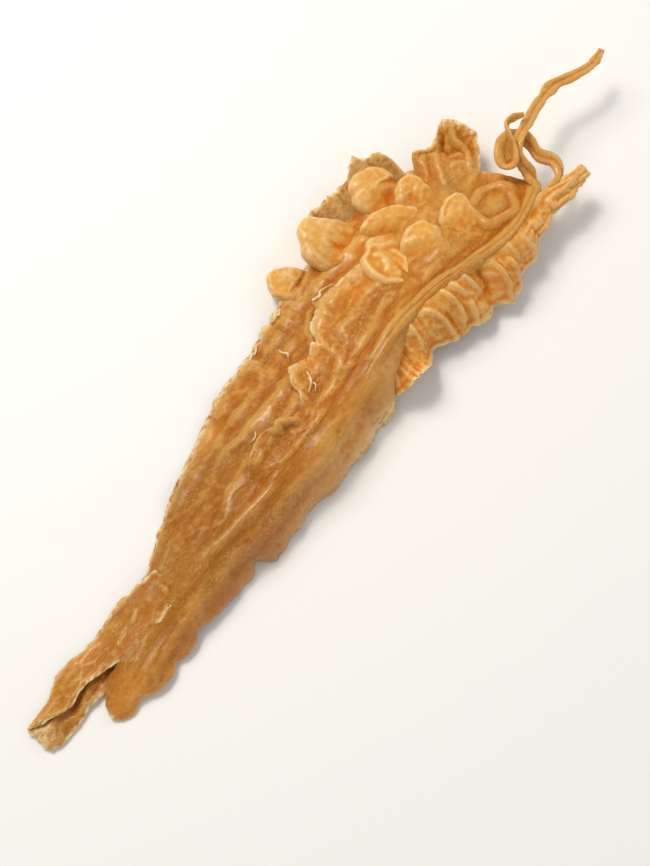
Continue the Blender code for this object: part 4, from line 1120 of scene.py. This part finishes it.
# Colour layers: the masks that they follow, strength, tone.
LAYERS = [
    (("tail",), 0.70, "#b07e3c"),
    (("brown",), 0.60, "#8e581c"),
    (("head",), 0.65, "#dc9a3e"),
    (("cloud",), 0.45, "#b97722"),
    (("grain", "haze"), 0.60, "#b5823a"),
    (("mottle",), 0.30, "#c4761a"),
    (("grain", "streak"), 0.35, "#be883a"),
    (("grain", "deep_streak"), 0.45, "#c66f12"),
    (("dull", "haze"), 0.60, "#b39560"),
    (("dull",), 0.45, "#b29662"),
    (("brown",), 0.34, "#98591a"),
    # Deep orange patches: painted shade on the steep right side, over a deeper orange zone near the ridge.
    (("deep",), 0.70, "#a65a0c"),
    # Darker orange in the valleys and fine grooves: painted shade.
    (("valley",), 0.65, "#b25c08"),
    (("groove_shade",), 0.55, "#a85408"),
    (("pale",), 0.78, "#f2bc62"),
    (("pale", "grain"), 1.0, "#ee9628"),
    (("pale", "swirl"), 0.30, "#e28c20"),
    # Saturated orange in the valleys and fine grooves of the pale pouches and frill: painted shade.
    (("pale", "valley"), 0.75, "#da7a06"),
    (("pale", "groove_shade"), 0.45, "#d67406"),
    # Paler on the crests and fine crests, and cream on the pale ones: painted highlights.
    (("crest", "mottle"), 0.60, "#d69e48"),
    (("groove_highlight",), 0.45, "#e6b45a"),
    (("pale", "groove_highlight"), 0.36, "#fbe2aa"),
    # Pale on the ridges of the crinkles, which the bump also raises: painted highlights.
    (("grain", "crinkle"), 0.35, "#dda24a"),
    (("grain", "fine_crinkle"), 0.28, "#e6b258"),
    (("grain", "fibres"), 0.42, "#d4943a"),
    (("brown",), 0.16, "#86490f"),
    # Deep orange patches again: painted shade on the steep right side, over a deeper orange zone near the
    # ridge.
    (("deep",), 0.55, "#aa5600"),
    # Pale sparkle specks in the haze: painted glints.
    (("grain", "haze", "sparkle"), 0.45, "#ecca88"),
    (("fine_mottle",), 0.14, "#a35a10"),
    # Pale crisp edges, and the painted highlight spots on the pouches that the edge numbers also carry,
    # broken into patches.
    (("edge", "edge_and_glint_patches"), 1.0, "#f4dfae"),
    (("fleck_zones", "flecks"), 0.5, "#f6e6c2"),
]

# Relief too fine for the mesh: pattern and height in millimetres. Puffed parts keep a share.
RELIEFS = [("crinkle", 0.6), ("fine_crinkle", 0.45), ("fine_mottle", 0.22), ("fibres", 0.08), ("pores", 0.06)]
SMOOTH_SHARE = 0.45

# The skin dried from half glossy to dull. A thin clear film shines on its crests, and
# follows only the first of the reliefs, because it fills the finer ones.
ROUGH_DULL, ROUGH_GLOSSY = 0.55, 0.32
COAT_LEAST, COAT_MOST = 0.10, 0.6
COAT_RELIEFS = 2


def dried_membrane():
    """Dried collagen membrane, hung and air dried: cloudy amber that lets light through, with
    painted shade deepening its folds and painted highlights on its crests, pale and opaque
    where it dried thin and crisp."""
    material = bpy.data.materials.new("air_dried_membrane")
    material.use_nodes = True
    tree = material.node_tree
    shader = tree.nodes["Principled BSDF"]
    place = add(tree, "ShaderNodeTexCoord").outputs["Object"]
    patterns = {}
    for name, (kind, sizes, detail, low, high) in PATTERNS.items():
        scaled = add(tree, "ShaderNodeMapping", {}, {
            "Vector": place, "Scale": [1.0 / (size * MM) for size in sizes]})
        texture = add(tree, "ShaderNodeTexNoise", {"noise_type": kind, "normalize": kind == "FBM"}, {
            "Vector": scaled.outputs["Vector"], "Scale": 1.0, "Detail": detail, "Distortion": 0.4})
        patterns[name] = add(tree, "ShaderNodeMapRange", {}, {
            "Value": texture.outputs["Fac"], "From Min": low, "From Max": high}).outputs["Result"]
    kept = {name: add(tree, "ShaderNodeAttribute", {"attribute_name": name}).outputs["Fac"]
            for name in (*LOOKS, *HOLLOWS, "brown", "deep")}
    x = add(tree, "ShaderNodeSeparateXYZ", {}, {"Vector": place}).outputs["X"]
    kept["tail"] = add(tree, "ShaderNodeMapRange", {}, {
        "Value": x, "From Min": TAIL_TONE[0] * MM, "From Max": TAIL_TONE[1] * MM,
        "To Min": 1.0, "To Max": 0.0}).outputs["Result"]
    kept["head"] = add(tree, "ShaderNodeMapRange", {}, {
        "Value": x, "From Min": HEAD_TONE[0] * MM, "From Max": HEAD_TONE[1] * MM}).outputs["Result"]
    for name, source, low, high in SLOPES:
        kept[name] = add(tree, "ShaderNodeMapRange", {}, {
            "Value": kept[source], "From Min": low, "From Max": high}).outputs["Result"]
    colour = linear(AMBER)
    sockets = {**patterns, **kept}
    for masks, share, tone in LAYERS:
        for mask in masks:
            product = add(tree, "ShaderNodeMath", {"operation": "MULTIPLY"}, {0: sockets[mask], 1: share})
            share = product.outputs[0]
        mixed = add(tree, "ShaderNodeMix", {"data_type": "RGBA"}, {0: share, 6: colour, 7: linear(tone)})
        colour = mixed.outputs[2]
    tree.links.new(colour, shader.inputs["Base Color"])
    roughness = add(tree, "ShaderNodeMapRange", {}, {
        "Value": patterns["gloss"], "To Min": ROUGH_DULL, "To Max": ROUGH_GLOSSY}).outputs["Result"]
    tree.links.new(roughness, shader.inputs["Roughness"])
    normal = None
    strength = add(tree, "ShaderNodeMapRange", {}, {
        "Value": kept["grain"], "To Min": SMOOTH_SHARE, "To Max": 1.0}).outputs["Result"]
    for number, (pattern, depth) in enumerate(RELIEFS):
        step = add(tree, "ShaderNodeBump", {}, {
            "Height": patterns[pattern], "Distance": depth * MM, "Strength": strength})
        if normal:
            tree.links.new(normal, step.inputs["Normal"])
        normal = step.outputs["Normal"]
        if number == COAT_RELIEFS - 1:
            tree.links.new(normal, shader.inputs["Coat Normal"])
    tree.links.new(normal, shader.inputs["Normal"])
    shader.inputs["IOR"].default_value = 1.5
    shader.inputs["Specular IOR Level"].default_value = 0.15
    shader.inputs["Specular Tint"].default_value = linear("#ffe3b8")
    shader.inputs["Subsurface Weight"].default_value = 0.8
    shader.inputs["Subsurface Radius"].default_value = (1.0, 0.72, 0.36)
    shader.inputs["Subsurface Scale"].default_value = 1.0 * MM
    coat = add(tree, "ShaderNodeMapRange", {}, {
        "Value": kept["crest"], "To Min": COAT_LEAST, "To Max": COAT_MOST}).outputs["Result"]
    tree.links.new(coat, shader.inputs["Coat Weight"])
    shader.inputs["Coat Roughness"].default_value = 0.24
    return material


def pale_floor():
    """Plain very pale floor."""
    bpy.ops.mesh.primitive_plane_add(size=6.0, location=(0, 0, -0.0004))
    floor = bpy.context.object
    floor.name = "floor"
    material = bpy.data.materials.new("matt_paper")
    material.use_nodes = True
    shader = material.node_tree.nodes["Principled BSDF"]
    shader.inputs["Base Color"].default_value = linear("#f7f7f6")
    shader.inputs["Roughness"].default_value = 0.9
    floor.data.materials.append(material)


# Camera: where the photograph looks from, and what it looks at, in millimetres.
VIEW_AZIMUTH, VIEW_ELEVATION, VIEW_DISTANCE = -51.0, 72.0, 650.0
LOOK_AT = (-2.2, 10.7, 10.0)
MM_A_PIXEL = 0.43
IMAGE_HEIGHT = 866
SENSOR = 36.0


def facing(azimuth, elevation):
    """Direction from the object to a viewer at that azimuth and elevation in degrees."""
    a, e = math.radians(azimuth), math.radians(elevation)
    return Vector((math.sin(a) * math.cos(e), -math.cos(a) * math.cos(e), math.sin(e)))


def place_camera():
    """Camera at the photograph's viewing angle."""
    target = Vector((LOOK_AT[0] - MIDDLE[0], LOOK_AT[1] - MIDDLE[1], LOOK_AT[2])) * MM
    back = facing(VIEW_AZIMUTH, VIEW_ELEVATION)
    right = facing(VIEW_AZIMUTH + 90.0, 0.0)
    up = back.cross(right)
    data = bpy.data.cameras.new("view")
    data.sensor_width = SENSOR
    data.lens = SENSOR * VIEW_DISTANCE / (MM_A_PIXEL * IMAGE_HEIGHT)
    camera = bpy.data.objects.new("view", data)
    bpy.context.scene.collection.objects.link(camera)
    turn = Matrix((right, up, back)).transposed()
    camera.matrix_world = Matrix.Translation(target + back * VIEW_DISTANCE * MM) @ turn.to_4x4()
    bpy.context.scene.camera = camera


# Soft lights: azimuth, elevation, distance and size in metres, power in watts, colour.
LIGHTS = {
    "key": (180.0, 58.0, 1.2, 0.7, 7.6, "#fffcf7"),
    "glint": (170.0, 62.0, 1.2, 0.2, 2.8, "#fff6dc"),
    "fill": (-12.0, 34.0, 1.4, 1.2, 2.6, "#fff2e0"),
    "rim": (70.0, 35.0, 1.3, 0.8, 2.0, "#ffffff"),
}
SKY = 0.36


def soft_light():
    """Plain soft studio light from large panels and a white surround."""
    for name, (azimuth, elevation, distance, size, power, tone) in LIGHTS.items():
        data = bpy.data.lights.new(name, "AREA")
        data.shape = "DISK"
        data.size = size
        data.energy = power
        data.color = linear(tone)[:3]
        lamp = bpy.data.objects.new(name, data)
        back = facing(azimuth, elevation)
        lamp.location = back * distance
        lamp.rotation_euler = back.to_track_quat("Z", "Y").to_euler()
        bpy.context.scene.collection.objects.link(lamp)
    world = bpy.data.worlds.new("surround")
    world.use_nodes = True
    world.node_tree.nodes["Background"].inputs["Color"].default_value = (1, 1, 1, 1)
    world.node_tree.nodes["Background"].inputs["Strength"].default_value = SKY
    bpy.context.scene.world = world
    bpy.context.scene.view_settings.view_transform = "Standard"


membrane = dried_membrane()
made_piece("blade", sheets(), membrane)
made_piece("frill", [sheet("frill", FRILL_GRID, frill_point, FRILL_THICK,
                           lambda a, s: to_edge((1 - s) * 10),
                           lambda a, s: 0.8 + 0.4 * rough(a * 9.0, s * 1.5, 4.0), None, 0.5)], membrane)
for pouch_name, sizes in POUCHES.items():
    made_piece("pouch_" + pouch_name, [pouch(pouch_name, *sizes)], membrane)
made_piece("horn_loop", [horn("horn_loop", HORN_LOOP)], membrane)
made_piece("horn_long", [horn("horn_long", HORN_LONG)], membrane)
for number, points in enumerate(THREADS):
    thread = horn("thread", thread_route(points))
    store(thread.data, "edge", [1.0] * len(thread.data.vertices))
    made_piece("thread_%d" % number, [thread], membrane)
pale_floor()
place_camera()
soft_light()
